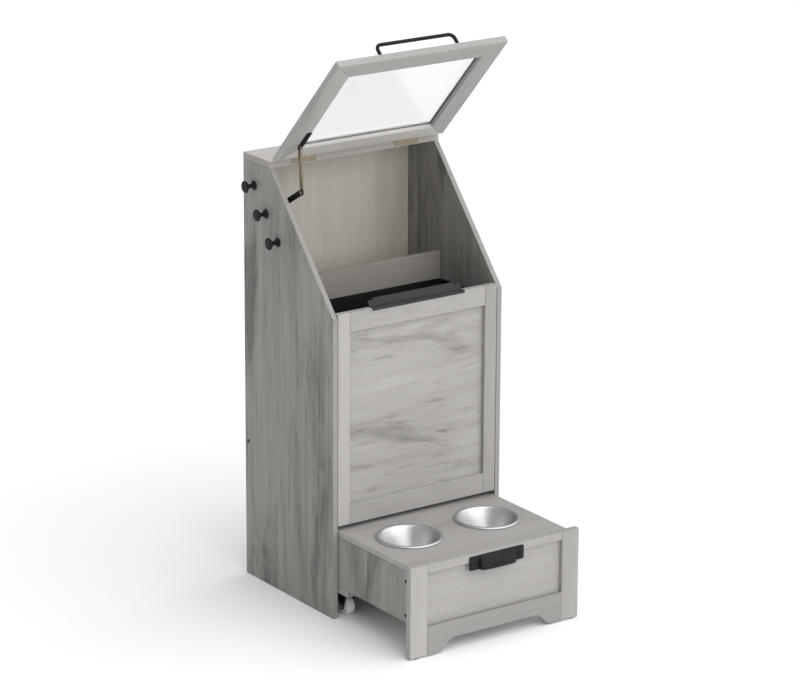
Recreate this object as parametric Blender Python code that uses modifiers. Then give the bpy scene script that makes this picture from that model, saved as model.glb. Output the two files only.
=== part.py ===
"""Pet feeding cabinet: a storage cabinet with a glazed flip-up lid, a tilt-out food bin behind a framed
door, and a rolling drawer that carries two bowls.

Everything is in metres with +Z up. Shapes are laid out in the cabinet's own coordinates: x = 0 is the
middle plane between the side panels, y = 0 the cabinet's front face, y grows towards the back and z = 0
is the floor. The cabinet_frame empty then moves that layout so that the world origin is the middle of
the whole object's footprint.
"""

import math

import bmesh
import bpy
from mathutils import Matrix, Vector

# --- Driving dimensions, in metres ---------------------------------------------------------------------

GAP = 0.0003  # between pieces that touch
EDGE = 0.0008  # broken arris of the boards

# Cabinet shell
WIDTH = 0.430
DEPTH = 0.335
BOARD = 0.012  # sides, shelf, drawer box
SIDE_HEIGHT = 0.925
TOP_THICKNESS = 0.015
SLOPE_TOP_Y = 0.233  # where the sloping edge meets the top of the side panel
SLOPE_FOOT_Z = 0.655  # where the sloping edge meets the front of the side panel
BACK_THICKNESS = 0.008
BACK_INSET = 0.001
BACK_FOOT_Z = 0.020

# Shelf, its lip and the fixed board under the bin
SHELF_Z = 0.634
LIP_Y = 0.205
LIP_FOOT_Z = 0.627
LIP_TOP_Z = 0.688
MID_BOARD_Y = 0.020
MID_BOARD_Z = 0.204

# Framed fronts: door and drawer share the thickness and the recess of the panel
FRONT_THICKNESS = 0.015
DOOR_HALF_WIDTH = 0.202  # between the side panels
DOOR_STILE = 0.030
FASCIA_HALF_WIDTH = 0.215  # over the side panels' front edges
FASCIA_STILE = 0.043
PANEL_THICKNESS = 0.004
PANEL_RECESS = 0.009
PANEL_TONGUE = 0.006

# Door with its tilt-out bin
DOOR_FOOT_Z = 0.2035
DOOR_TOP_Z = 0.664
DOOR_TOP_RAIL = 0.042
DOOR_FOOT_RAIL = 0.044
DOOR_PIVOT_Y = 0.0065
DOOR_PIVOT_Z = 0.2105
PIVOT_PIN_RADIUS = 0.003
PIVOT_PIN_DEPTH = 0.008  # in the side panel
PIVOT_PIN_REACH = 0.018  # in the door stile
BIN_HALF_WIDTH = 0.195
BIN_BACK_Y = 0.188
BIN_FLOOR_Z = 0.219
BIN_TOP_Z = 0.632
BIN_WALL = 0.0025
BIN_CORNER = 0.012

# Door pull, a hood over the door's top edge that stays under the closed lid
DOOR_PULL_HALF_WIDTH = 0.117
DOOR_PULL_HOOD_HALF_WIDTH = 0.103
DOOR_PULL_PLATE = 0.0012
DOOR_PULL_LIP = 0.005
DOOR_PULL_HOOD_Y = 0.0215
DOOR_PULL_EAR_Y = 0.0185
DOOR_PULL_LID_CLEARANCE = 0.0012

# Lid
LID_HALF_WIDTH = 0.211
LID_THICKNESS = 0.015
LID_FRAME = 0.045
LID_REACH = 0.348  # from the hinge pin to the free end
LID_WINDOW_START = 0.051  # from the hinge pin to the window
LID_REST_GAP = 0.0008  # between the closed lid and the sloping edges
LID_OPEN_ANGLE = math.radians(96.0)
PANE_THICKNESS = 0.003
PANE_TONGUE = 0.006
PANE_DEPTH = 0.0085  # from the lid's inner face to the pane

# Lid hinges
HINGE_PIN_Y = 0.2308
HINGE_PIN_Z = 0.9416
HINGE_X = 0.130
KNUCKLE_LENGTH = 0.020
KNUCKLE_RADIUS = 0.0019
KNUCKLE_BORE = 0.00115
HINGE_PIN_RADIUS = 0.0009
LEAF_THICKNESS = 0.0012
LEAF_FOOT_Z = 0.9275

# Lid handle, a bent wire bar
HANDLE_SPAN = 0.192
HANDLE_STANDOFF = 0.028
HANDLE_WIRE = 0.004
HANDLE_CORNER = 0.012
HANDLE_INSET = 0.009

# Lid stay: two arms that make a parallelogram with the hinge line
STAY_FOOT_Y = 0.222
STAY_FOOT_Z = 0.850
STAY_LID_REACH = 0.066  # from the hinge pin along the lid to the stay's upper pivot
STAY_LID_DROP = 0.0195  # from the hinge pin to the upper pivot, square to the lid
STAY_ARM_X = 0.1852  # outer face of the lower arm, from the middle plane
STAY_ARM_THICKNESS = 0.0025
STAY_ARM_WIDTH = 0.010
STAY_PIN_RADIUS = 0.0020
STAY_HOLE_RADIUS = 0.0024
STAY_HEAD_RADIUS = 0.0042
STAY_HEAD_THICKNESS = 0.0011

# Peg hooks on the left side panel, on a line parallel to the sloping edge
HOOK_REACH = 0.026
HOOK_KNOB_RADIUS = 0.013
HOOK_PITCH = 0.068
HOOK_MIDDLE = 0.2905  # from the foot of the sloping edge, along it
HOOK_INSET = 0.077  # square to the sloping edge

# Drawer
DRAWER_OUT = 0.280  # from the cabinet's front face to the drawer's, pulled out
DRAWER_TOP_Z = 0.194
DRAWER_FOOT_Z = 0.070
DRAWER_HALF_WIDTH = 0.202
DRAWER_BACK_Y = 0.041
DRAWER_FLOOR_THICKNESS = 0.009
FASCIA_TOP_Z = 0.200
FASCIA_TOP_RAIL = 0.018
FASCIA_PANEL_FOOT_Z = 0.066
ARCH_Z = 0.029
ARCH_FLAT_X = 0.104
ARCH_FOOT_X = 0.146
GLIDE_HEIGHT = 0.002
GLIDE_RADIUS = 0.0065
GLIDE_X = 0.200

# Cup pull on the drawer front
CUP_HALF_WIDTH = 0.045
CUP_EAR = 0.024
CUP_EAR_THICKNESS = 0.003
CUP_PROJECTION = 0.016
CUP_TOP_Z = 0.195
CUP_FOOT_Z = 0.165
CUP_WALL = 0.0015

# Bowls
BOWL_X = 0.100
BOWL_Y = -0.113
BOWL_RIM_RADIUS = 0.071
BOWL_RIM_HEIGHT = 0.0045
BOWL_THROAT_RADIUS = 0.0625
BOWL_FOOT_RADIUS = 0.050
BOWL_DEPTH = 0.044
BOWL_WALL = 0.0015
BOWL_HOLE_RADIUS = 0.0645

# Rear casters, under a batten across the drawer
BATTEN_Y = (-0.035, 0.041)
BATTEN_FOOT_Z = 0.056
CASTER_X = 0.172
CASTER_Y = 0.013
WHEEL_RADIUS = 0.019
WHEEL_WIDTH = 0.018
AXLE_RADIUS = 0.0025
FORK_SHEET = 0.002
FORK_CLEARANCE = 0.002
FORK_PLATE = (0.034, 0.036)  # across and along the drawer

ROUND_STEPS = 24
SMALL_STEPS = 16

# --- Derived places ------------------------------------------------------------------------------------

INNER = WIDTH / 2 - BOARD
SLOPE_ANGLE = math.atan2(SIDE_HEIGHT - SLOPE_FOOT_Z, SLOPE_TOP_Y)
SLOPE_UP = Vector((0, math.cos(SLOPE_ANGLE), math.sin(SLOPE_ANGLE)))
SLOPE_OUT = Vector((0, -math.sin(SLOPE_ANGLE), math.cos(SLOPE_ANGLE)))
SLOPE_FOOT = Vector((0, 0, SLOPE_FOOT_Z))
HINGE_PIN = Vector((0, HINGE_PIN_Y, HINGE_PIN_Z))
BACK_FACE_Y = DEPTH - BACK_INSET - BACK_THICKNESS
FASCIA_Y = -DRAWER_OUT
FASCIA_BACK_Y = FASCIA_Y + FRONT_THICKNESS
FRONT_REACH = DRAWER_OUT + CUP_PROJECTION
ORIGIN_SHIFT = Vector((HOOK_REACH / 2, (FRONT_REACH - DEPTH) / 2, 0))

# Lid frame: y = 0 is the hinge pin, -y runs to the free end and +z is the outer face's side
LID_INNER_FACE = -((HINGE_PIN - SLOPE_FOOT).dot(SLOPE_OUT) - LID_REST_GAP)
LID_OUTER_FACE = LID_INNER_FACE + LID_THICKNESS
LID_WINDOW_END = LID_REACH - LID_FRAME
LID_WINDOW_HALF = LID_HALF_WIDTH - LID_FRAME
STAY_FOOT = Vector((0, STAY_FOOT_Y, STAY_FOOT_Z))

SIDES = (("left", -1), ("right", 1))


# --- Scene and materials -------------------------------------------------------------------------------


def clear_scene():
    for obj in list(bpy.data.objects):
        bpy.data.objects.remove(obj, do_unlink=True)


def new_collection(name, hidden=False):
    collection = bpy.data.collections.new(name)
    bpy.context.scene.collection.children.link(collection)
    collection.hide_render = hidden
    return collection


def new_material(name, colour, roughness, metallic=0.0, transmission=0.0):
    material = bpy.data.materials.new(name)
    material.use_nodes = True
    shader = material.node_tree.nodes["Principled BSDF"]
    shader.inputs["Base Color"].default_value = (*colour, 1.0)
    shader.inputs["Roughness"].default_value = roughness
    shader.inputs["Metallic"].default_value = metallic
    shader.inputs["Transmission Weight"].default_value = transmission
    material.diffuse_color = (*colour, 1.0)
    return material


clear_scene()
PARTS = new_collection("pet_feeding_cabinet")
CUTTERS = new_collection("cutters", hidden=True)

OAK = new_material("weathered_grey_oak", (0.46, 0.44, 0.41), 0.6)
OAK_FRONT = new_material("weathered_grey_oak_front", (0.55, 0.53, 0.50), 0.6)
BACKING = new_material("grey_backing", (0.42, 0.40, 0.37), 0.7)
BLACK_METAL = new_material("black_metal", (0.03, 0.03, 0.03), 0.45, metallic=0.6)
BRONZE = new_material("antique_bronze", (0.20, 0.15, 0.10), 0.4, metallic=0.9)
STEEL = new_material("stainless_steel", (0.75, 0.75, 0.74), 0.2, metallic=1.0)
ZINC = new_material("zinc_plated_steel", (0.55, 0.55, 0.56), 0.35, metallic=1.0)
ACRYLIC = new_material("clear_acrylic", (0.92, 0.94, 0.94), 0.05, transmission=1.0)
BLACK_PLASTIC = new_material("black_plastic", (0.02, 0.02, 0.02), 0.5)
WHITE_NYLON = new_material("white_nylon", (0.85, 0.85, 0.84), 0.4)


# --- Building tools ------------------------------------------------------------------------------------


def new_empty(name, location, parent=None, tilt=0.0):
    """An axis or a frame: tilt turns it about X."""
    empty = bpy.data.objects.new(name, None)
    empty.empty_display_size = 0.03
    empty.location = location
    empty.rotation_euler = (tilt, 0, 0)
    empty.parent = parent
    PARTS.objects.link(empty)
    return empty


def new_object(name, mesh, material, parent, location=(0, 0, 0), rotation=(0, 0, 0)):
    """Links a mesh as a part or, with no material, as a cutter."""
    obj = bpy.data.objects.new(name, mesh)
    obj.location = location
    obj.rotation_euler = rotation
    obj.parent = parent
    if material is None:
        obj.hide_render = True
        obj.display_type = "WIRE"
        CUTTERS.objects.link(obj)
    else:
        mesh.materials.append(material)
        PARTS.objects.link(obj)
    return obj


def to_mesh(name, bm):
    mesh = bpy.data.meshes.new(name)
    bm.to_mesh(mesh)
    bm.free()
    return mesh


def break_edges(obj, width=EDGE, segments=1):
    bevel = obj.modifiers.new("broken_edges", "BEVEL")
    bevel.width = width
    bevel.segments = segments
    bevel.limit_method = "ANGLE"
    bevel.angle_limit = math.radians(30)
    return obj


def combine(obj, other, operation="DIFFERENCE"):
    boolean = obj.modifiers.new(operation.lower() + "_" + other.name, "BOOLEAN")
    boolean.operation = operation
    boolean.object = other
    boolean.solver = "EXACT"
    return obj


def box(name, low, high, material, parent, edge=EDGE):
    """A board between two corners given in the parent's coordinates; its origin is its own centre."""
    low, high = Vector(low), Vector(high)
    bm = bmesh.new()
    bmesh.ops.create_cube(bm, size=1.0)
    bmesh.ops.scale(bm, vec=high - low, verts=bm.verts)
    obj = new_object(name, to_mesh(name, bm), material, parent, (low + high) / 2)
    if edge and material is not None:
        break_edges(obj, edge)
    return obj


def saw(obj, point, normal):
    """Takes off what lies beyond a plane, given in the coordinates of the object's parent."""
    bm = bmesh.new()
    bm.from_mesh(obj.data)
    geometry = bm.verts[:] + bm.edges[:] + bm.faces[:]
    bmesh.ops.bisect_plane(
        bm,
        geom=geometry,
        plane_co=Vector(point) - obj.location,
        plane_no=Vector(normal),
        clear_outer=True,
    )
    bmesh.ops.holes_fill(bm, edges=[edge for edge in bm.edges if edge.is_boundary])
    bmesh.ops.recalc_face_normals(bm, faces=bm.faces)
    bm.to_mesh(obj.data)
    bm.free()
    return obj


def extruded(name, outline, low, high, axis, material, parent, edge=EDGE):
    """A flat outline given thickness. Across X its points are (y, z), and across Y they are (x, z)."""
    curve = bpy.data.curves.new(name, "CURVE")
    curve.dimensions = "2D"
    curve.fill_mode = "BOTH"
    curve.extrude = (high - low) / 2
    spline = curve.splines.new("POLY")
    spline.points.add(len(outline) - 1)
    for point, (u, v) in zip(spline.points, outline):
        point.co = (u, v, 0, 1)
    spline.use_cyclic_u = True
    guide = bpy.data.objects.new(name + "_outline", curve)
    PARTS.objects.link(guide)
    graph = bpy.context.evaluated_depsgraph_get()
    mesh = bpy.data.meshes.new_from_object(guide.evaluated_get(graph))
    bpy.data.objects.remove(guide, do_unlink=True)
    middle = (low + high) / 2
    if axis == "X":
        turn = Matrix(((0, 0, 1, middle), (1, 0, 0, 0), (0, 1, 0, 0), (0, 0, 0, 1)))
    else:
        turn = Matrix(((1, 0, 0, 0), (0, 0, -1, middle), (0, 1, 0, 0), (0, 0, 0, 1)))
    bm = bmesh.new()
    bm.from_mesh(mesh)
    bpy.data.meshes.remove(mesh)
    bmesh.ops.transform(bm, matrix=turn, verts=bm.verts)
    bmesh.ops.remove_doubles(bm, verts=bm.verts, dist=1e-6)
    bmesh.ops.dissolve_limit(bm, angle_limit=0.001, verts=bm.verts, edges=bm.edges)
    bmesh.ops.recalc_face_normals(bm, faces=bm.faces)
    obj = new_object(name, to_mesh(name, bm), material, parent)
    if edge and material is not None:
        break_edges(obj, edge)
    return obj


def cylinder(name, radius, low, high, centre, axis, material, parent, steps=ROUND_STEPS):
    """A round bar along X or Z: low and high are its ends on that axis, centre its other two places."""
    bm = bmesh.new()
    bmesh.ops.create_cone(
        bm, cap_ends=True, segments=steps, radius1=radius, radius2=radius, depth=high - low
    )
    middle = (low + high) / 2
    if axis == "X":
        bmesh.ops.rotate(bm, matrix=Matrix.Rotation(math.pi / 2, 3, "Y"), verts=bm.verts)
        place = (middle, *centre)
    else:
        place = (*centre, middle)
    return new_object(name, to_mesh(name, bm), material, parent, place)


def turned(name, profile, material, parent, location, rotation=(0, 0, 0), steps=SMALL_STEPS):
    """A turned piece. The profile of (radius, height) starts and ends on the axis and runs down the outside."""
    bm = bmesh.new()
    verts = [bm.verts.new((radius, 0, height)) for radius, height in profile]
    for first, second in zip(verts, verts[1:]):
        bm.edges.new((first, second))
    obj = new_object(name, to_mesh(name, bm), material, parent, location, rotation)
    screw = obj.modifiers.new("turn", "SCREW")
    screw.axis = "Z"
    screw.angle = math.tau
    screw.steps = steps
    screw.render_steps = steps
    screw.use_merge_vertices = True
    screw.merge_threshold = 1e-5
    screw.use_smooth_shade = True
    return obj


def arc(centre, radius, start, end, steps):
    """Points along an arc, with its angles in degrees."""
    angles = [math.radians(start + (end - start) * step / steps) for step in range(steps + 1)]
    return [(centre[0] + radius * math.cos(a), centre[1] + radius * math.sin(a)) for a in angles]


def slot_outline(first, second, width, steps=8):
    """A bar with round ends between two points of a plane."""
    heading = math.degrees(math.atan2(second[1] - first[1], second[0] - first[0]))
    ahead = arc(second, width / 2, heading - 90, heading + 90, steps)
    behind = arc(first, width / 2, heading + 90, heading + 270, steps)
    return ahead + behind


# --- Cabinet -------------------------------------------------------------------------------------------


def hook_places():
    """Feet of the three peg hooks on the left side panel, highest first."""
    start = SLOPE_FOOT + SLOPE_UP * HOOK_MIDDLE - SLOPE_OUT * HOOK_INSET
    return [start + SLOPE_UP * HOOK_PITCH * step for step in (1, 0, -1)]


def make_side_panels(frame):
    outline = [
        (0, 0),
        (DEPTH, 0),
        (DEPTH, SIDE_HEIGHT),
        (SLOPE_TOP_Y, SIDE_HEIGHT),
        (0, SLOPE_FOOT_Z),
    ]
    for side, sign in SIDES:
        ends = sorted((sign * WIDTH / 2, sign * INNER))
        panel = extruded(side + "_side_panel", outline, *ends, "X", OAK, frame)
        ends = sorted((sign * (INNER + PIVOT_PIN_DEPTH + GAP), sign * (INNER - BOARD)))
        place = (DOOR_PIVOT_Y, DOOR_PIVOT_Z)
        drill = cylinder(
            side + "_pivot_drill", PIVOT_PIN_RADIUS + GAP, *ends, place, "X", None, frame
        )
        combine(panel, drill)
        if sign < 0:
            for number, foot in enumerate(hook_places(), 1):
                ends = (-WIDTH / 2 - BOARD, -WIDTH / 2 + 0.009)
                drill = cylinder(
                    f"hook_{number}_drill", 0.0026, *ends, foot.yz, "X", None, frame, SMALL_STEPS
                )
                combine(panel, drill)


def make_cabinet_boards(frame):
    wide = INNER - GAP
    shelf_back = BACK_FACE_Y - GAP
    top_z = SIDE_HEIGHT + GAP
    box(
        "top_board",
        (-WIDTH / 2, SLOPE_TOP_Y, top_z),
        (WIDTH / 2, DEPTH, SIDE_HEIGHT + TOP_THICKNESS),
        OAK,
        frame,
    )
    box(
        "back_panel",
        (-wide, BACK_FACE_Y, BACK_FOOT_Z),
        (wide, BACK_FACE_Y + BACK_THICKNESS, SIDE_HEIGHT),
        BACKING,
        frame,
    )
    box(
        "upper_shelf",
        (-wide, LIP_Y + BOARD + GAP, SHELF_Z),
        (wide, shelf_back, SHELF_Z + BOARD),
        OAK,
        frame,
    )
    box("shelf_lip", (-wide, LIP_Y, LIP_FOOT_Z), (wide, LIP_Y + BOARD, LIP_TOP_Z), OAK_FRONT, frame)
    box(
        "bin_support_board",
        (-wide, MID_BOARD_Y, MID_BOARD_Z),
        (wide, shelf_back, MID_BOARD_Z + BOARD),
        OAK,
        frame,
    )


def make_hooks(frame):
    """Turned pegs. Their threaded shanks sit in the side panel."""
    profile = [
        (0, HOOK_REACH),
        (HOOK_KNOB_RADIUS - 0.003, HOOK_REACH),
        (HOOK_KNOB_RADIUS, HOOK_REACH - 0.0025),
        (HOOK_KNOB_RADIUS - 0.002, HOOK_REACH - 0.006),
        (0.0045, HOOK_REACH - 0.008),
        (0.0045, 0.005),
        (0.010, 0.003),
        (0.010, GAP),
        (0.0022, GAP),
        (0.0022, -0.0085),
        (0, -0.0085),
    ]
    for number, foot in enumerate(hook_places(), 1):
        place = (-WIDTH / 2, foot.y, foot.z)
        turned(f"hook_{number}", profile, BLACK_METAL, frame, place, (0, -math.pi / 2, 0))


def make_pivot_pins(frame):
    for side, sign in SIDES:
        ends = sorted((sign * (INNER + PIVOT_PIN_DEPTH), sign * (INNER - PIVOT_PIN_REACH)))
        place = (DOOR_PIVOT_Y, DOOR_PIVOT_Z)
        cylinder(side + "_door_pivot_pin", PIVOT_PIN_RADIUS, *ends, place, "X", ZINC, frame)


# --- Lid and its hinges --------------------------------------------------------------------------------


def closed_in_lid(vector):
    """Turns a direction or offset of the closed lid's surroundings into the lid frame."""
    return Matrix.Rotation(-SLOPE_ANGLE, 3, "X") @ Vector(vector)


def hinge_leaf(name, plate_y, segments, centre_x, parent, location, tilt):
    """A leaf with its knuckles, laid out around the pin as in the closed lid."""
    half = 1.5 * KNUCKLE_LENGTH + GAP
    foot = LEAF_FOOT_Z - HINGE_PIN_Z
    leaf = box(name, (-half, plate_y[0], foot), (half, plate_y[1], 0), BRONZE, parent, edge=0)
    bmesh_shift = Vector(leaf.location)
    leaf.data.transform(Matrix.Translation(bmesh_shift))
    leaf.location = Vector(location) + Vector((centre_x, 0, 0))
    leaf.rotation_euler = (tilt, 0, 0)
    for number in (-1, 0, 1):
        middle = number * (KNUCKLE_LENGTH + GAP)
        ends = (middle - KNUCKLE_LENGTH / 2, middle + KNUCKLE_LENGTH / 2)
        if number in segments:
            radius, operation = KNUCKLE_RADIUS, "UNION"
        else:
            radius, operation = KNUCKLE_RADIUS + GAP, "DIFFERENCE"
            ends = (ends[0] - GAP, ends[1] + GAP)
            if number:
                ends = (min(ends[0], -half - GAP), ends[1]) if number < 0 else (ends[0], half + GAP)
        tool = cylinder(f"{name}_knuckle_{number + 1}", radius, *ends, (0, 0), "X", None, leaf)
        combine(leaf, tool, operation)
    bore = cylinder(name + "_bore", KNUCKLE_BORE, -half - GAP, half + GAP, (0, 0), "X", None, leaf)
    combine(leaf, bore)
    return leaf


def make_hinges(frame, lid):
    board_plate = (SLOPE_TOP_Y - GAP - LEAF_THICKNESS - HINGE_PIN_Y, SLOPE_TOP_Y - GAP - HINGE_PIN_Y)
    lid_plate = (-KNUCKLE_RADIUS, -KNUCKLE_RADIUS + LEAF_THICKNESS)
    for side, sign in SIDES:
        x = sign * HINGE_X
        hinge_leaf(side + "_hinge_board_leaf", board_plate, (-1, 1), x, frame, HINGE_PIN, 0)
        hinge_leaf(side + "_hinge_lid_leaf", lid_plate, (0,), x, lid, (0, 0, 0), -SLOPE_ANGLE)
        half = 1.5 * KNUCKLE_LENGTH + GAP
        place = (HINGE_PIN_Y, HINGE_PIN_Z)
        ends = (x - half, x + half)
        cylinder(side + "_hinge_pin", HINGE_PIN_RADIUS, *ends, place, "X", BRONZE, frame)


def make_lid_frame(lid):
    """Four mitred members around the pane. The hinge end is sawn plumb as it stands when closed."""
    bottom, top = LID_INNER_FACE, LID_OUTER_FACE
    tongue = PANE_TONGUE + GAP
    pane_low = bottom + PANE_DEPTH
    groove = box(
        "pane_groove",
        (-LID_WINDOW_HALF - tongue, -LID_WINDOW_END - tongue, pane_low - GAP),
        (LID_WINDOW_HALF + tongue, -LID_WINDOW_START + tongue, pane_low + PANE_THICKNESS + GAP),
        None,
        lid,
    )
    hinge_end = closed_in_lid((0, -KNUCKLE_RADIUS - GAP, 0))
    hinge_normal = closed_in_lid((0, 1, 0))
    corner_gap = Vector((GAP / 2, 0, 0))
    for side, sign in SIDES:
        ends = sorted((sign * LID_WINDOW_HALF, sign * LID_HALF_WIDTH))
        low = (ends[0], -LID_REACH, bottom)
        stile = box(f"lid_{side}_stile", low, (ends[1], 0, top), OAK_FRONT, lid)
        inner_free = Vector((sign * LID_WINDOW_HALF, -LID_WINDOW_END, 0)) + sign * corner_gap
        inner_hinge = Vector((sign * LID_WINDOW_HALF, -LID_WINDOW_START, 0)) + sign * corner_gap
        saw(stile, inner_free, (-sign, -1, 0))
        saw(stile, inner_hinge, (-sign, 1, 0))
        saw(stile, hinge_end, hinge_normal)
        combine(stile, groove)
    rails = (
        ("lid_free_rail", (-LID_REACH, -LID_WINDOW_END), -LID_WINDOW_END, 1),
        ("lid_hinge_rail", (-LID_WINDOW_START, 0.02), -LID_WINDOW_START, -1),
    )
    for name, (near, far), corner_y, heading in rails:
        low, high = (-LID_HALF_WIDTH, near, bottom), (LID_HALF_WIDTH, far, top)
        rail = box(name, low, high, OAK_FRONT, lid)
        for _, sign in SIDES:
            corner = Vector((sign * LID_WINDOW_HALF, corner_y, 0)) - sign * corner_gap
            saw(rail, corner, (sign, heading, 0))
        if heading < 0:
            saw(rail, hinge_end, hinge_normal)
        combine(rail, groove)
    box(
        "lid_window",
        (-LID_WINDOW_HALF - PANE_TONGUE, -LID_WINDOW_END - PANE_TONGUE, pane_low),
        (
            LID_WINDOW_HALF + PANE_TONGUE,
            -LID_WINDOW_START + PANE_TONGUE,
            pane_low + PANE_THICKNESS,
        ),
        ACRYLIC,
        lid,
        edge=0,
    )


def make_lid_handle(lid):
    foot = LID_OUTER_FACE + GAP
    bar = LID_OUTER_FACE + HANDLE_STANDOFF
    half, bend = HANDLE_SPAN / 2, HANDLE_CORNER
    left = arc((-half + bend, bar - bend), bend, 180, 90, 5)
    right = arc((half - bend, bar - bend), bend, 90, 0, 5)
    path = [(-half, foot), *left, *right, (half, foot)]
    curve = bpy.data.curves.new("lid_handle", "CURVE")
    curve.dimensions = "3D"
    curve.bevel_depth = HANDLE_WIRE
    curve.bevel_resolution = 2
    curve.use_fill_caps = True
    spline = curve.splines.new("POLY")
    spline.points.add(len(path) - 1)
    for point, (x, z) in zip(spline.points, path):
        point.co = (x, 0, z, 1)
    curve.materials.append(BLACK_METAL)
    handle = bpy.data.objects.new("lid_handle", curve)
    handle.location = (0, -LID_REACH + HANDLE_INSET, 0)
    handle.parent = lid
    PARTS.objects.link(handle)


# --- Lid stay ------------------------------------------------------------------------------------------


def stay_points(opening):
    """Where the stay's elbow and upper pivot are, with the lid opened by this angle."""
    tilt = Matrix.Rotation(SLOPE_ANGLE - opening, 3, "X")
    swing = tilt @ Vector((0, -STAY_LID_REACH, -STAY_LID_DROP))
    return STAY_FOOT + swing, HINGE_PIN + swing


def stay_arm(name, start, end, outer_x, material, parent):
    """A flat bar whose frame is at its first pivot."""
    reach = end - start
    outline = slot_outline((0, 0), (reach.y, reach.z), STAY_ARM_WIDTH)
    ends = (-outer_x, -outer_x + STAY_ARM_THICKNESS)
    arm = extruded(name, outline, *ends, "X", material, parent, edge=0)
    for number, place in enumerate(((0, 0), (reach.y, reach.z)), 1):
        ends = (-outer_x - 0.002, -outer_x + STAY_ARM_THICKNESS + 0.002)
        hole = cylinder(
            f"{name}_hole_{number}", STAY_HOLE_RADIUS, *ends, place, "X", None, parent, SMALL_STEPS
        )
        combine(arm, hole)
    return arm


def rivet_profile(shank_length, foot=()):
    """A headed rivet from its head, at the top, to its foot."""
    head_top = shank_length + STAY_HEAD_THICKNESS
    start = [
        (0, head_top),
        (STAY_HEAD_RADIUS - 0.0008, head_top),
        (STAY_HEAD_RADIUS, head_top - 0.0005),
        (STAY_HEAD_RADIUS, shank_length),
        (STAY_PIN_RADIUS, shank_length),
    ]
    return start + list(foot)


def make_stay(frame, lid, lower_axis, upper_axis):
    elbow, upper = stay_points(LID_OPEN_ANGLE)
    arm_x = STAY_ARM_X
    second_x = arm_x - STAY_ARM_THICKNESS - GAP
    stay_arm("stay_lower_arm", STAY_FOOT, elbow, arm_x, BLACK_METAL, lower_axis)
    stay_arm("stay_upper_arm", elbow, upper, second_x, BRONZE, upper_axis)

    # Bracket on the left side panel: a plate, a boss and the riveted pivot
    plate_x = -INNER + GAP
    boss_end = -arm_x - GAP
    plate_low = (plate_x, STAY_FOOT_Y - 0.011, STAY_FOOT_Z - 0.016)
    plate_high = (plate_x + 0.0018, STAY_FOOT_Y + 0.011, STAY_FOOT_Z + 0.014)
    shank = STAY_ARM_THICKNESS + 2 * GAP
    foot = [
        (STAY_PIN_RADIUS, 0),
        (0.0055, 0),
        (0.0060, -0.0008),
        (0.0060, plate_x + 0.0008 - boss_end),
        (0, plate_x + 0.0008 - boss_end),
    ]
    bracket = turned(
        "stay_panel_bracket",
        rivet_profile(shank, foot),
        BLACK_METAL,
        frame,
        (boss_end, STAY_FOOT_Y, STAY_FOOT_Z),
        (0, math.pi / 2, 0),
    )
    plate = box("stay_panel_plate", plate_low, plate_high, None, frame)
    combine(bracket, plate, "UNION")

    # Elbow rivet, headed on both sides, carried by the lower arm
    shank = 2 * STAY_ARM_THICKNESS + 3 * GAP
    foot = [
        (STAY_PIN_RADIUS, 0),
        (STAY_HEAD_RADIUS, 0),
        (STAY_HEAD_RADIUS, -STAY_HEAD_THICKNESS),
        (0, -STAY_HEAD_THICKNESS),
    ]
    reach = elbow - STAY_FOOT
    place = (-arm_x - GAP, reach.y, reach.z)
    turned(
        "stay_elbow_rivet",
        rivet_profile(shank, foot),
        BRONZE,
        lower_axis,
        place,
        (0, math.pi / 2, 0),
    )

    # Bracket on the lid: a plate under the stile and an ear with the pivot the upper arm hangs on
    ear_x = -second_x + STAY_ARM_THICKNESS + GAP
    shank = STAY_ARM_THICKNESS + 2 * GAP
    foot = [(STAY_PIN_RADIUS, -0.001), (0, -0.001)]
    pivot_y, pivot_z = -STAY_LID_REACH, -STAY_LID_DROP
    bracket = turned(
        "stay_lid_bracket",
        rivet_profile(shank, foot),
        BLACK_METAL,
        lid,
        (ear_x, pivot_y, pivot_z),
        (0, -math.pi / 2, 0),
    )
    face = LID_INNER_FACE - GAP
    ear_outline = [
        (pivot_y + 0.004, face),
        (pivot_y - 0.026, face),
        *arc((pivot_y, pivot_z), 0.0055, 230, 360, 6),
    ]
    ear = extruded(
        "stay_lid_ear", ear_outline, ear_x, ear_x + 0.0018, "X", None, lid, edge=0
    )
    low = (ear_x, pivot_y - 0.044, face - 0.0018)
    plate = box("stay_lid_plate", low, (ear_x + 0.013, pivot_y + 0.004, face), None, lid)
    combine(bracket, ear, "UNION")
    combine(bracket, plate, "UNION")


# --- Framed fronts -------------------------------------------------------------------------------------


def framed_panel(prefix, opening, front_y, panel_foot, panel_top, parent):
    """The recessed panel of a front, and the cutter that grooves its stiles and rails."""
    half = opening + PANEL_TONGUE
    near, far = front_y + PANEL_RECESS, front_y + PANEL_RECESS + PANEL_THICKNESS
    low, high = panel_foot - PANEL_TONGUE, panel_top + PANEL_TONGUE
    box(prefix + "_panel", (-half, near, low), (half, far, high), OAK_FRONT, parent, edge=0)
    return box(
        prefix + "_groove",
        (-half - GAP, near - GAP, low - GAP),
        (half + GAP, far + GAP, high + GAP),
        None,
        parent,
    )


def front_stile(name, sign, outer, opening, front_y, low_z, high_z, groove, parent):
    ends = sorted((sign * outer, sign * opening))
    back_y = front_y + FRONT_THICKNESS
    low, high = (ends[0], front_y, low_z), (ends[1], back_y, high_z)
    return combine(box(name, low, high, OAK_FRONT, parent), groove)


def front_rail(name, opening, front_y, low_z, high_z, groove, parent):
    half = opening - GAP
    low, high = (-half, front_y, low_z), (half, front_y + FRONT_THICKNESS, high_z)
    return combine(box(name, low, high, OAK_FRONT, parent), groove)


# --- Door and bin --------------------------------------------------------------------------------------


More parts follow.
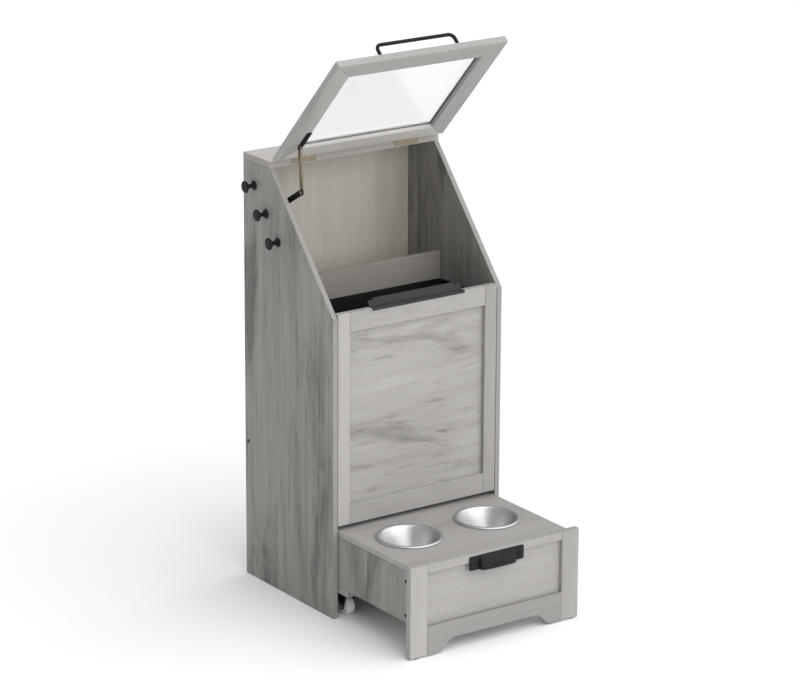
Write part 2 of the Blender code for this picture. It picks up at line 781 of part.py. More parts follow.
def make_door(door):
    """The door's parts are laid out from its pivot, so every place is moved by the pivot's."""
    pivot = Vector((0, DOOR_PIVOT_Y, DOOR_PIVOT_Z))
    front_y = -pivot.y
    foot_z, top_z = DOOR_FOOT_Z - pivot.z, DOOR_TOP_Z - pivot.z
    panel_foot, panel_top = foot_z + DOOR_FOOT_RAIL, top_z - DOOR_TOP_RAIL
    outer, opening = DOOR_HALF_WIDTH, DOOR_HALF_WIDTH - DOOR_STILE
    groove = framed_panel("door", opening, front_y, panel_foot, panel_top, door)
    for side, sign in SIDES:
        name = f"door_{side}_stile"
        stile = front_stile(name, sign, outer, opening, front_y, foot_z, top_z, groove, door)
        ends = sorted((sign * (INNER + BOARD), sign * (INNER - PIVOT_PIN_REACH - GAP)))
        radius = PIVOT_PIN_RADIUS + GAP
        drill = cylinder(f"door_{side}_drill", radius, *ends, (0, 0), "X", None, door)
        combine(stile, drill)
    front_rail("door_foot_rail", opening, front_y, foot_z, panel_foot, groove, door)
    front_rail("door_top_rail", opening, front_y, panel_top, top_z, groove, door)
    make_bin(door, pivot)
    make_door_pull(door, pivot)


def make_bin(door, pivot):
    """An open-topped moulded bin: five walls given thickness inwards."""
    low = Vector((-BIN_HALF_WIDTH, FRONT_THICKNESS + GAP, BIN_FLOOR_Z)) - pivot
    high = Vector((BIN_HALF_WIDTH, BIN_BACK_Y, BIN_TOP_Z)) - pivot
    bm = bmesh.new()
    bmesh.ops.create_cube(bm, size=1.0)
    bmesh.ops.scale(bm, vec=high - low, verts=bm.verts)
    upright = [edge for edge in bm.edges if abs(edge.verts[0].co.z - edge.verts[1].co.z) > 0.1]
    bmesh.ops.bevel(bm, geom=upright, offset=BIN_CORNER, segments=3, profile=0.5, affect="EDGES")
    lid_faces = [face for face in bm.faces if face.normal.z > 0.9]
    bmesh.ops.delete(bm, geom=lid_faces, context="FACES")
    mesh = to_mesh("food_bin", bm)
    food_bin = new_object("food_bin", mesh, BLACK_PLASTIC, door, (low + high) / 2)
    walls = food_bin.modifiers.new("walls", "SOLIDIFY")
    walls.thickness = BIN_WALL
    walls.offset = -1
    walls.use_even_offset = True


def make_door_pull(door, pivot):
    """A bent plate over the top edge: a lip in front, then a hood parallel to the closed lid."""
    plate = DOOR_PULL_PLATE
    top = DOOR_TOP_Z + GAP + plate
    hood_drop = (DOOR_PULL_LID_CLEARANCE - LID_REST_GAP) / math.cos(SLOPE_ANGLE)
    rise = math.tan(SLOPE_ANGLE)
    bend_y = (top + hood_drop - SLOPE_FOOT_Z) / rise
    half, hood_half = DOOR_PULL_HALF_WIDTH, DOOR_PULL_HOOD_HALF_WIDTH

    # The sheet's outer face: rows run up the lip and back along the hood, columns from left to right
    rows = [(-GAP - plate, top - DOOR_PULL_LIP - plate), (-GAP - plate, top), (bend_y, top)]
    for y in (DOOR_PULL_EAR_Y, DOOR_PULL_HOOD_Y):
        rows.append((y, SLOPE_FOOT_Z - hood_drop + y * rise))
    columns = (-half, -hood_half, hood_half, half)
    bm = bmesh.new()
    across, along = len(columns) - 1, len(rows) - 1
    bmesh.ops.create_grid(bm, x_segments=across, y_segments=along, size=1.0)
    beside_hood = []
    for face in bm.faces:
        middle = face.calc_center_median()
        if abs(middle.x) > 0.5 and middle.y > 0.5:
            beside_hood.append(face)
    for vert in bm.verts:
        column = round((vert.co.x + 1) / 2 * across)
        y, z = rows[round((vert.co.y + 1) / 2 * along)]
        vert.co = (columns[column], y - pivot.y, z - pivot.z)
    bmesh.ops.delete(bm, geom=beside_hood, context="FACES")
    pull = new_object("door_pull", to_mesh("door_pull", bm), BLACK_METAL, door)
    sheet = pull.modifiers.new("sheet", "SOLIDIFY")
    sheet.thickness = plate
    sheet.offset = -1
    sheet.use_even_offset = True

    hood_z = SLOPE_FOOT_Z - hood_drop + DOOR_PULL_HOOD_Y * rise
    under = plate / math.cos(SLOPE_ANGLE)
    back = FRONT_THICKNESS + GAP
    cheek = [
        (back - pivot.y, DOOR_TOP_Z - 0.004 - pivot.z),
        (DOOR_PULL_HOOD_Y - 0.0006 - pivot.y, hood_z - under / 2 - 0.0006 * rise - pivot.z),
        (back - pivot.y, top - plate / 2 + (back - bend_y) * rise - pivot.z),
    ]
    for number, sign in enumerate((-1, 1), 1):
        ends = sorted((sign * (hood_half - 0.0005), sign * (hood_half - 0.0025)))
        tool = extruded(f"door_pull_cheek_{number}", cheek, *ends, "X", None, door, edge=0)
        combine(pull, tool, "UNION")


# --- Drawer --------------------------------------------------------------------------------------------


def make_drawer_box(drawer):
    half = DRAWER_HALF_WIDTH
    inner = half - BOARD
    front, back = FASCIA_BACK_Y + GAP, DRAWER_BACK_Y
    foot, shoulder = DRAWER_FOOT_Z, DRAWER_TOP_Z - BOARD
    wall_top = shoulder - GAP
    top = box("drawer_top_board", (-half, front, shoulder), (half, back, DRAWER_TOP_Z), OAK, drawer)
    for side, sign in SIDES:
        place = (sign * BOWL_X, BOWL_Y)
        ends = (shoulder - BOARD, DRAWER_TOP_Z + BOARD)
        hole = cylinder(
            side + "_bowl_hole", BOWL_HOLE_RADIUS, *ends, place, "Z", None, drawer, steps=40
        )
        combine(top, hole)
        ends = sorted((sign * half, sign * inner))
        low, high = (ends[0], front, foot), (ends[1], back, wall_top)
        box(f"drawer_{side}_side", low, high, OAK, drawer)
    inner -= GAP
    box(
        "drawer_inner_front",
        (-inner, front, foot),
        (inner, front + BOARD, wall_top),
        OAK,
        drawer,
    )
    box("drawer_back", (-inner, back - BOARD, foot), (inner, back, wall_top), OAK, drawer)
    box(
        "drawer_floor",
        (-inner, front + BOARD + GAP, foot),
        (inner, back - BOARD - GAP, foot + DRAWER_FLOOR_THICKNESS),
        BACKING,
        drawer,
    )
    low, high = (-half, BATTEN_Y[0], BATTEN_FOOT_Z), (half, BATTEN_Y[1], foot - GAP)
    box("caster_batten", low, high, OAK, drawer)


def arched_rail_outline(half):
    """The drawer front's lower rail: bracket feet that sweep up in an S to a flat arch."""
    foot_z = GLIDE_HEIGHT + GAP
    sweep = []
    steps = 8
    for step in range(steps + 1):
        t = step / steps
        x = ARCH_FOOT_X + (ARCH_FLAT_X - ARCH_FOOT_X) * t
        sweep.append((x, foot_z + (ARCH_Z - foot_z) * (1 - math.cos(math.pi * t)) / 2))
    right = [(half, FASCIA_PANEL_FOOT_Z), (half, foot_z), *sweep]
    left = [(-x, z) for x, z in reversed(right)]
    return right + left


def make_fascia(drawer):
    foot_z = GLIDE_HEIGHT + GAP
    panel_top = FASCIA_TOP_Z - FASCIA_TOP_RAIL
    outer, opening = FASCIA_HALF_WIDTH, FASCIA_HALF_WIDTH - FASCIA_STILE
    groove = framed_panel("fascia", opening, FASCIA_Y, FASCIA_PANEL_FOOT_Z, panel_top, drawer)
    for side, sign in SIDES:
        name = f"fascia_{side}_stile"
        front_stile(name, sign, outer, opening, FASCIA_Y, foot_z, FASCIA_TOP_Z, groove, drawer)
        profile = [
            (0, GLIDE_HEIGHT),
            (GLIDE_RADIUS, GLIDE_HEIGHT),
            (GLIDE_RADIUS, 0.0008),
            (GLIDE_RADIUS - 0.0008, 0),
            (0, 0),
        ]
        middle_y = FASCIA_Y + FRONT_THICKNESS / 2
        turned(side + "_glide", profile, BLACK_PLASTIC, drawer, (sign * GLIDE_X, middle_y, 0))
    front_rail("fascia_top_rail", opening, FASCIA_Y, panel_top, FASCIA_TOP_Z, groove, drawer)
    outline = arched_rail_outline(opening - GAP)
    rail = extruded(
        "fascia_arched_rail", outline, FASCIA_Y, FASCIA_BACK_Y, "Y", OAK_FRONT, drawer, edge=0
    )
    combine(rail, groove)


def quarter_hood(back_y, foot_z, projection, height, steps=6):
    """Section of a cup pull: a quarter of an ellipse that leans out and down from its top."""
    curve = []
    for step in range(steps + 1):
        angle = math.pi / 2 * step / steps
        curve.append((back_y - projection * math.sin(angle), foot_z + height * math.cos(angle)))
    return curve + [(back_y, foot_z)]


def make_drawer_pull(drawer):
    back_y = FASCIA_Y - GAP
    height = CUP_TOP_Z - CUP_FOOT_Z
    projection = CUP_PROJECTION - GAP
    outer = quarter_hood(back_y, CUP_FOOT_Z, projection, height)
    inner = quarter_hood(
        back_y + 0.001, CUP_FOOT_Z - 0.001, projection - CUP_WALL, height - CUP_WALL
    )
    half = CUP_HALF_WIDTH
    pull = extruded("drawer_pull", outer, -half, half, "X", BLACK_METAL, drawer, edge=0)
    hollow_half = half - CUP_WALL
    hollow = extruded("drawer_pull_hollow", inner, -hollow_half, hollow_half, "X", None, drawer, 0)
    combine(pull, hollow)
    for side, sign in SIDES:
        ends = sorted((sign * (half - CUP_WALL / 2), sign * (half + CUP_EAR)))
        low = (ends[0], back_y - CUP_EAR_THICKNESS, CUP_FOOT_Z)
        ear = box(f"drawer_pull_{side}_ear", low, (ends[1], back_y, CUP_TOP_Z), None, drawer)
        combine(pull, ear, "UNION")


def make_bowl(side, sign, drawer):
    """A pressed bowl with a rolled rim, on its own frame in its hole."""
    rim_z = BOWL_RIM_HEIGHT
    wall = BOWL_WALL
    frame = new_empty(
        side + "_bowl_frame", (sign * BOWL_X, BOWL_Y, DRAWER_TOP_Z + GAP), drawer
    )
    depth = BOWL_DEPTH
    inner = [
        (0, -depth + wall),
        (BOWL_FOOT_RADIUS - 0.008, -depth + wall),
        (BOWL_FOOT_RADIUS - 0.002, -depth + 0.005),
        (BOWL_THROAT_RADIUS - 0.003, -0.006),
        (BOWL_THROAT_RADIUS - wall, rim_z - 0.002),
        (BOWL_THROAT_RADIUS + 0.001, rim_z),
    ]
    outer = [
        (BOWL_RIM_RADIUS - 0.003, rim_z - 0.0003),
        (BOWL_RIM_RADIUS, rim_z - 0.0020),
        (BOWL_RIM_RADIUS - 0.0004, 0),
        (BOWL_RIM_RADIUS - 0.0018, 0),
        (BOWL_RIM_RADIUS - 0.0024, rim_z - 0.0022),
        (BOWL_THROAT_RADIUS + 0.0016, rim_z - 0.0018),
        (BOWL_THROAT_RADIUS - 0.0012, -0.006),
        (BOWL_FOOT_RADIUS, -depth + 0.005),
        (BOWL_FOOT_RADIUS - 0.007, -depth),
        (0, -depth),
    ]
    turned(side + "_bowl", inner + outer, STEEL, frame, (0, 0, 0), steps=32)


def make_caster(side, sign, drawer):
    """A fixed fork of folded sheet, its axle and, on a frame of its own, the wheel."""
    x = sign * CASTER_X
    plate_x, plate_y = FORK_PLATE
    top = BATTEN_FOOT_Z - GAP
    name = side + "_caster_fork"
    fork = box(
        name,
        (x - plate_x / 2, CASTER_Y - plate_y / 2, top - FORK_SHEET),
        (x + plate_x / 2, CASTER_Y + plate_y / 2, top),
        BLACK_METAL,
        drawer,
        edge=0,
    )
    inside = WHEEL_WIDTH / 2 + FORK_CLEARANCE
    cheek = [
        (CASTER_Y + 0.015, top - FORK_SHEET / 2),
        (CASTER_Y - 0.015, top - FORK_SHEET / 2),
        *arc((CASTER_Y, WHEEL_RADIUS), 0.0075, 200, 340, 6),
    ]
    for number, face in enumerate((-1, 1), 1):
        ends = sorted((x + face * inside, x + face * (inside + FORK_SHEET)))
        tool = extruded(f"{name}_cheek_{number}", cheek, *ends, "X", None, drawer, edge=0)
        combine(fork, tool, "UNION")
    reach = inside + FORK_SHEET + GAP
    place = (CASTER_Y, WHEEL_RADIUS)
    bore = AXLE_RADIUS + GAP
    drill = cylinder(
        name + "_drill", bore, x - 2 * reach, x + 2 * reach, place, "X", None, drawer, SMALL_STEPS
    )
    combine(fork, drill)
    head = 0.0015
    profile = [
        (0, reach + head),
        (AXLE_RADIUS + 0.0010, reach + head),
        (AXLE_RADIUS + 0.0018, reach + head / 2),
        (AXLE_RADIUS + 0.0018, reach),
        (AXLE_RADIUS, reach),
    ]
    profile += [(radius, -height) for radius, height in reversed(profile)]
    turned(
        side + "_caster_axle", profile, ZINC, drawer, (x, *place), (0, math.pi / 2, 0)
    )
    axis = new_empty(side + "_wheel_axis", (x, *place), drawer)
    half = WHEEL_WIDTH / 2
    rim = WHEEL_RADIUS
    profile = [
        (0, half),
        (0.0070, half),
        (0.0075, half - 0.0015),
        (rim - 0.0040, half - 0.0015),
        (rim - 0.0020, half),
        (rim - 0.0008, half - 0.0008),
        (rim, half - 0.0025),
        (rim, 0),
    ]
    profile += [(radius, -height) for radius, height in reversed(profile[:-1])]
    name = side + "_caster_wheel"
    wheel = turned(
        name, profile, WHITE_NYLON, axis, (0, 0, 0), (0, math.pi / 2, 0), ROUND_STEPS
    )
    bore = cylinder(name + "_bore", bore, -0.01, 0.01, (0, 0), "X", None, axis, SMALL_STEPS)
    combine(wheel, bore)


def make_drawer(drawer):
    make_drawer_box(drawer)
    make_fascia(drawer)
    make_drawer_pull(drawer)
    for side, sign in SIDES:
        make_bowl(side, sign, drawer)
        make_caster(side, sign, drawer)


# --- Assembly ------------------------------------------------------------------------------------------


def main():
    frame = new_empty("cabinet_frame", ORIGIN_SHIFT)
    lid = new_empty("lid_axis", HINGE_PIN, frame, tilt=SLOPE_ANGLE - LID_OPEN_ANGLE)
    door = new_empty("door_axis", (0, DOOR_PIVOT_Y, DOOR_PIVOT_Z), frame)
    drawer = new_empty("drawer_frame", (0, 0, 0), frame)
    elbow, _ = stay_points(LID_OPEN_ANGLE)
    lower_axis = new_empty("stay_lower_axis", STAY_FOOT, frame)
    upper_axis = new_empty("stay_elbow_axis", elbow - STAY_FOOT, lower_axis)

    make_side_panels(frame)
    make_cabinet_boards(frame)
    make_hooks(frame)
    make_pivot_pins(frame)
    make_hinges(frame, lid)
    make_lid_frame(lid)
    make_lid_handle(lid)
    make_stay(frame, lid, lower_axis, upper_axis)
    make_door(door)
    make_drawer(drawer)
    bpy.context.view_layer.update()


main()
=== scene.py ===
"""Looks of the pet feeding cabinet: a grain for every board, finely shaped metal and moulded pieces in
place of the plain CAD ones, screws, a pale floor, soft studio light and a camera.

Shapes are laid out as in the CAD model: metres, x = 0 in the middle of the cabinet, y = 0 at its front
face and z = 0 on the floor. SHIFT moves that layout into the shared frame.
"""

import math

import bmesh
import bpy
from mathutils import Matrix, Vector


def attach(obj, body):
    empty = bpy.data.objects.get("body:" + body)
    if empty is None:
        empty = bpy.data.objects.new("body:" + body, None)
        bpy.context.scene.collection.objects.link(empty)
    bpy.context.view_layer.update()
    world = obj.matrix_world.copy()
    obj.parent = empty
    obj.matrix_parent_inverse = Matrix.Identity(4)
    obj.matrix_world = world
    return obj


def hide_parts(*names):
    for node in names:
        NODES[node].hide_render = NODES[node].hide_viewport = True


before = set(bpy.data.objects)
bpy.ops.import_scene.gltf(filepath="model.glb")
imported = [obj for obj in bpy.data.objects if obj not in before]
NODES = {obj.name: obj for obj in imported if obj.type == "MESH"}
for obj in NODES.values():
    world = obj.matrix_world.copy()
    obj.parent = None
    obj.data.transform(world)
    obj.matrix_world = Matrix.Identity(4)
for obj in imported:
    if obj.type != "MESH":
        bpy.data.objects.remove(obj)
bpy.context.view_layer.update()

# --- Places shared with the CAD model ------------------------------------------------------------------

SHIFT = Matrix.Translation((0.013, -0.0195, 0))
GAP = 0.0003  # between pieces that touch
SINK = 0.0001  # of a screw's head into what it holds
HALF_WIDTH = 0.215
INNER = 0.203
SLOPE_FOOT_Z = 0.655
SLOPE_ANGLE = math.atan2(0.925 - SLOPE_FOOT_Z, 0.233)
OPENING = math.radians(96.0)
HINGE_PIN = Vector((0, 0.2308, 0.9416))
LID_INNER = -0.01171
LID_OUTER = 0.00329
LID_REACH = 0.348
LID = SHIFT @ Matrix.Translation(HINGE_PIN) @ Matrix.Rotation(SLOPE_ANGLE - OPENING, 4, "X")
STAY_FOOT = Vector((0, 0.222, 0.850))
LID_PIVOT = Vector((0, -0.066, -0.0195))  # in the lid's own directions, from the hinge pin
SWING = Matrix.Rotation(SLOPE_ANGLE - OPENING, 3, "X") @ LID_PIVOT
ELBOW = STAY_FOOT + SWING
STAY_TOP = HINGE_PIN + SWING
ARM_X = -0.1852
ARM_WIDTH = 0.0125
ARM_THICKNESS = 0.0025
DOOR_TOP_Z = 0.664
FRONT_THICKNESS = 0.015
BIN_LOW = Vector((-0.195, FRONT_THICKNESS + GAP, 0.219))
BIN_HIGH = Vector((0.195, 0.188, 0.632))
FASCIA_Y = -0.280
DRAWER_HALF_WIDTH = 0.202
DRAWER_TOP_Z = 0.194
BOWL_PLACES = (("left", -0.100), ("right", 0.100))
BOWL_Y = -0.113
CASTER_X = 0.172
CASTER_Y = 0.013
WHEEL_RADIUS = 0.019
BATTEN_FOOT_Z = 0.0557
GLIDE_X = 0.200
SIDES = (("left", -1), ("right", 1))

# --- Materials -----------------------------------------------------------------------------------------


def node(tree, kind, **settings):
    """A shader node with its properties set."""
    made = tree.nodes.new(kind)
    for key, value in settings.items():
        setattr(made, key, value)
    return made


def new_material(name, rough, metallic=0.0):
    material = bpy.data.materials.new(name)
    material.use_nodes = True
    tree = material.node_tree
    shader = tree.nodes["Principled BSDF"]
    shader.inputs["Roughness"].default_value = rough
    shader.inputs["Metallic"].default_value = metallic
    return material, tree, shader


def object_coordinates(tree):
    return tree.nodes.new("ShaderNodeTexCoord").outputs["Object"]


def stretched_noise(tree, vector, scale, detail, roughness=0.55, distortion=0.0):
    """Noise with its own scale along each axis, in waves per metre."""
    mapping = node(tree, "ShaderNodeMapping")
    mapping.inputs["Scale"].default_value = scale
    tree.links.new(vector, mapping.inputs["Vector"])
    noise = node(tree, "ShaderNodeTexNoise")
    noise.inputs["Scale"].default_value = 1.0
    noise.inputs["Detail"].default_value = detail
    noise.inputs["Roughness"].default_value = roughness
    noise.inputs["Distortion"].default_value = distortion
    tree.links.new(mapping.outputs["Vector"], noise.inputs["Vector"])
    return noise.outputs["Fac"]


def weighted_sum(tree, terms, constant):
    """constant + the sum of weight * (value - 0.5)."""
    total = None
    offset = constant - sum(weight for _, weight in terms) / 2
    for value, weight in terms:
        add = node(tree, "ShaderNodeMath", operation="MULTIPLY_ADD")
        tree.links.new(value, add.inputs[0])
        add.inputs[1].default_value = weight
        if total is None:
            add.inputs[2].default_value = offset
        else:
            tree.links.new(total, add.inputs[2])
        total = add.outputs[0]
    return total


def ramp(tree, value, stops):
    """A colour for each value, between stops of (place, colour)."""
    made = node(tree, "ShaderNodeValToRGB")
    elements = made.color_ramp.elements
    while len(elements) < len(stops):
        elements.new(0.5)
    for element, (place, colour) in zip(elements, stops):
        element.position = place
        element.color = (*colour, 1.0)
    tree.links.new(value, made.inputs["Fac"])
    return made.outputs["Color"]


def remap(tree, value, low, high):
    """0 to 1 stretched to low to high."""
    made = node(tree, "ShaderNodeMapRange")
    tree.links.new(value, made.inputs["Value"])
    made.inputs["To Min"].default_value = low
    made.inputs["To Max"].default_value = high
    return made.outputs["Result"]


def smooth_step(tree, value, low, high):
    """0 on low's side and 1 on high's side, with a smooth change between them."""
    made = node(tree, "ShaderNodeMapRange", interpolation_type="SMOOTHSTEP")
    tree.links.new(value, made.inputs["Value"])
    made.inputs["From Min"].default_value = low
    made.inputs["From Max"].default_value = high
    return made.outputs["Result"]


def bump(tree, shader, height, distance, strength):
    made = node(tree, "ShaderNodeBump")
    made.inputs["Strength"].default_value = strength
    made.inputs["Distance"].default_value = distance
    tree.links.new(height, made.inputs["Height"])
    tree.links.new(made.outputs["Normal"], shader.inputs["Normal"])


# Turns that lay the grain along an axis, or along the open lid
ALONG_Z = (0.0, 0.0, 0.0)
ALONG_X = (0.0, -math.pi / 2, 0.0)
ALONG_Y = (math.pi / 2, 0.0, 0.0)
ALONG_LID = (-math.pi / 2 - (SLOPE_ANGLE - OPENING), 0.0, 0.0)


def edge_mask(tree, axis):
    """1 on faces that look across an axis (0, 1 or 2), 0 on those that look along it."""
    normal = node(tree, "ShaderNodeSeparateXYZ")
    coordinates = tree.nodes.new("ShaderNodeTexCoord")
    tree.links.new(coordinates.outputs["Normal"], normal.inputs["Vector"])
    size = node(tree, "ShaderNodeMath", operation="ABSOLUTE")
    tree.links.new(normal.outputs[axis], size.inputs[0])
    return smooth_step(tree, size.outputs[0], 0.6, 0.4)


def oak(name, turn, offset, dark, light, streaky, stained, edge=None):
    """Weathered grey oak: soft washed bands and streaks, smoky stains, short dashes and fine pores.

    edge is (axis, shift): the tone shifts on the faces that look across that axis, as painted light where
    the shift is up and painted shade where it is down.
    """
    material, tree, shader = new_material(name, 0.62)
    board = node(tree, "ShaderNodeMapping")
    board.inputs["Rotation"].default_value = turn
    board.inputs["Location"].default_value = offset
    tree.links.new(object_coordinates(tree), board.inputs["Vector"])
    vector = board.outputs["Vector"]
    broad = stretched_noise(tree, vector, (7, 7, 1.5), 3.0, 0.5, 0.5)
    streak = stretched_noise(tree, vector, (34, 34, 2.2), 5.0, 0.6, 0.6)
    fibre = stretched_noise(tree, vector, (260, 260, 7.0), 4.0, 0.65)
    smoke = stretched_noise(tree, vector, (11, 11, 2.5), 6.0, 0.64, 0.7)
    stain = smooth_step(tree, smoke, 0.50, 0.72)
    specks = stretched_noise(tree, vector, (85, 85, 12.0), 2.0, 0.5, 0.3)
    dash = smooth_step(tree, specks, 0.60, 0.72)
    pores = stretched_noise(tree, vector, (700, 700, 16.0), 2.0, 0.5)
    pit = smooth_step(tree, pores, 0.40, 0.28)
    terms = (
        (broad, 0.9 * streaky),
        (streak, 1.1 * streaky),
        (fibre, 0.50 * streaky),
        (stain, -0.62 * stained),
        (dash, -0.26 * stained),
        (pit, -0.16),
    )
    constant = 0.62 - 0.36 * stained
    # Painted light and shade on the faces that look across the edge's axis
    if edge:
        axis, shift = edge
        terms += ((edge_mask(tree, axis), shift),)
        constant += shift / 2
    tone = weighted_sum(tree, terms, constant)
    middle = tuple((a * 0.45 + b * 0.55) for a, b in zip(dark, light))
    colour = ramp(tree, tone, ((0.0, dark), (0.5, middle), (1.0, light)))
    tree.links.new(colour, shader.inputs["Base Color"])
    rough = weighted_sum(tree, ((streak, -0.25), (fibre, -0.15)), 0.62)
    tree.links.new(rough, shader.inputs["Roughness"])
    height = weighted_sum(tree, ((fibre, 0.6), (pit, -0.5), (streak, 0.4)), 0.5)
    bump(tree, shader, height, 0.00035, 0.55)
    shader.inputs["Specular IOR Level"].default_value = 0.35
    return material


def speckled(name, rough, metallic, tones, grain, depth, sheen=0.2):
    """A finish whose colour and gloss drift a little, over a fine-textured coat."""
    material, tree, shader = new_material(name, rough, metallic)
    dark, light = tones
    vector = object_coordinates(tree)
    drift = stretched_noise(tree, vector, (40, 40, 40), 4.0)
    fine = stretched_noise(tree, vector, (grain, grain, grain), 2.0)
    tone = weighted_sum(tree, ((drift, 0.9), (fine, 0.7)), 0.5)
    tree.links.new(ramp(tree, tone, ((0.1, dark), (0.9, light))), shader.inputs["Base Color"])
    tree.links.new(remap(tree, drift, rough - 0.09, rough + 0.09), shader.inputs["Roughness"])
    bump(tree, shader, fine, depth, 0.5)
    shader.inputs["Specular IOR Level"].default_value = sheen
    return material


def spun_steel(name, centre):
    """Polished steel with fine rings round the centre of the pressing."""
    material, tree, shader = new_material(name, 0.34, 1.0)
    place = node(tree, "ShaderNodeMapping")
    place.inputs["Location"].default_value = (-centre[0], -centre[1], 0.0)
    place.inputs["Scale"].default_value = (1.0, 1.0, 0.0)
    tree.links.new(object_coordinates(tree), place.inputs["Vector"])
    length = node(tree, "ShaderNodeVectorMath", operation="LENGTH")
    tree.links.new(place.outputs["Vector"], length.inputs[0])
    rings = node(tree, "ShaderNodeTexNoise", noise_dimensions="1D")
    rings.inputs["Scale"].default_value = 1400.0
    rings.inputs["Detail"].default_value = 3.0
    tree.links.new(length.outputs["Value"], rings.inputs["W"])
    drift = stretched_noise(tree, object_coordinates(tree), (35, 35, 35), 3.0)
    tone = weighted_sum(tree, ((rings.outputs["Fac"], 0.7), (drift, 0.6)), 0.5)
    colours = ((0.1, (0.44, 0.44, 0.45)), (0.9, (0.66, 0.66, 0.67)))
    tree.links.new(ramp(tree, tone, colours), shader.inputs["Base Color"])
    rough = weighted_sum(tree, ((rings.outputs["Fac"], 0.18), (drift, 0.10)), 0.34)
    tree.links.new(rough, shader.inputs["Roughness"])
    bump(tree, shader, rings.outputs["Fac"], 0.00006, 0.4)
    return material


def clear_sheet(name):
    """A clear pane with a faint haze in its gloss."""
    material, tree, shader = new_material(name, 0.05)
    shader.inputs["Base Color"].default_value = (0.12, 0.115, 0.12, 1.0)
    shader.inputs["Transmission Weight"].default_value = 1.0
    shader.inputs["IOR"].default_value = 1.20
    shader.inputs["Alpha"].default_value = 0.12
    haze = stretched_noise(tree, object_coordinates(tree), (14, 14, 14), 3.0)
    tree.links.new(remap(tree, haze, 0.02, 0.09), shader.inputs["Roughness"])
    return material


# The side tones are the front's wood made darker: painted shade for faces turned away from the key light.
SIDE_TONES_WITH_PAINTED_SHADE = ((0.165, 0.156, 0.144), (0.375, 0.360, 0.342))
TOP_TONES = ((0.215, 0.204, 0.190), (0.405, 0.390, 0.376))
INSIDE_TONES = ((0.300, 0.278, 0.242), (0.530, 0.500, 0.450))
FRONT_TONES = ((0.210, 0.201, 0.192), (0.425, 0.410, 0.398))

# Grain direction, tones, how light the board is, and how streaky and how stained its face is. How light a
# board is holds painted shade on the side panels, the drawer's sides and the shelf lip, and painted light
# on the top board; elsewhere it is the board's own tone.
BOARDS = {
    # Side panels: darkened as painted shade, for faces turned away from the key light.
    "left_side_panel": (ALONG_Z, SIDE_TONES_WITH_PAINTED_SHADE, 0.76, 1.6, 1.35),
    "right_side_panel": (ALONG_Z, SIDE_TONES_WITH_PAINTED_SHADE, 0.76, 1.6, 1.35),
    # Top board: lightened as painted light, against the shadow the open lid casts on it.
    "top_board": (ALONG_X, TOP_TONES, 1.50, 0.6, 0.4),
    "back_panel": (ALONG_Z, INSIDE_TONES, 0.95, 0.5, 0.3),
    "upper_shelf": (ALONG_X, INSIDE_TONES, 0.90, 0.5, 0.4),
    # Shelf lip: darkened as painted shade, for the shadow it lies in.
    "shelf_lip": (ALONG_X, INSIDE_TONES, 0.56, 0.5, 0.6),
    "bin_support_board": (ALONG_X, SIDE_TONES_WITH_PAINTED_SHADE, 1.0, 0.8, 0.6),
    "lid_left_stile": (ALONG_LID, FRONT_TONES, 1.0, 0.5, 0.4),
    "lid_right_stile": (ALONG_LID, FRONT_TONES, 0.92, 0.5, 0.4),
    "lid_free_rail": (ALONG_X, FRONT_TONES, 1.0, 0.5, 0.3),
    "lid_hinge_rail": (ALONG_X, FRONT_TONES, 1.25, 0.5, 0.4),
    "door_left_stile": (ALONG_Z, FRONT_TONES, 1.04, 0.35, 0.25),
    "door_right_stile": (ALONG_Z, FRONT_TONES, 0.86, 0.35, 0.4),
    "door_foot_rail": (ALONG_X, FRONT_TONES, 0.90, 0.4, 0.5),
    "door_top_rail": (ALONG_X, FRONT_TONES, 0.91, 0.4, 0.5),
    "door_panel": (ALONG_X, FRONT_TONES, 0.92, 0.9, 1.3),
    "drawer_top_board": (ALONG_X, TOP_TONES, 0.95, 0.5, 0.5),
    # Drawer sides: darkened as painted shade, for faces turned away from the key light.
    "drawer_left_side": (ALONG_Z, SIDE_TONES_WITH_PAINTED_SHADE, 0.74, 2.0, 1.2),
    "drawer_right_side": (ALONG_Z, SIDE_TONES_WITH_PAINTED_SHADE, 0.74, 2.0, 1.2),
    "drawer_inner_front": (ALONG_X, SIDE_TONES_WITH_PAINTED_SHADE, 1.0, 0.8, 0.6),
    "drawer_back": (ALONG_X, SIDE_TONES_WITH_PAINTED_SHADE, 1.0, 0.8, 0.6),
    "drawer_floor": (ALONG_Y, INSIDE_TONES, 0.9, 0.5, 0.4),
    "caster_batten": (ALONG_X, SIDE_TONES_WITH_PAINTED_SHADE, 1.0, 0.8, 0.6),
    "fascia_left_stile": (ALONG_Z, FRONT_TONES, 0.98, 0.35, 0.25),
    "fascia_right_stile": (ALONG_Z, FRONT_TONES, 0.87, 0.35, 0.3),
    "fascia_top_rail": (ALONG_X, FRONT_TONES, 0.93, 0.35, 0.3),
    "fascia_arched_rail": (ALONG_X, FRONT_TONES, 0.72, 0.4, 0.3),
    "fascia_panel": (ALONG_X, FRONT_TONES, 0.91, 0.45, 0.5),
}

# Painted light and shade on a board's narrow faces: the axis across the board and the tone's shift. The
# side panels' front and sloping edges get painted light, the top board's edges painted shade from the open
# lid.
EDGES = {
    "left_side_panel": (0, 0.55),
    "right_side_panel": (0, 0.55),
    "top_board": (2, -0.75),
}

BLACK_TONES = ((0.008, 0.008, 0.008), (0.021, 0.020, 0.019))
HOOD_TONES = ((0.023, 0.022, 0.021), (0.039, 0.036, 0.034))
BRONZE_TONES = ((0.175, 0.150, 0.105), (0.310, 0.270, 0.200))
ZINC_TONES = ((0.42, 0.42, 0.44), (0.62, 0.62, 0.63))
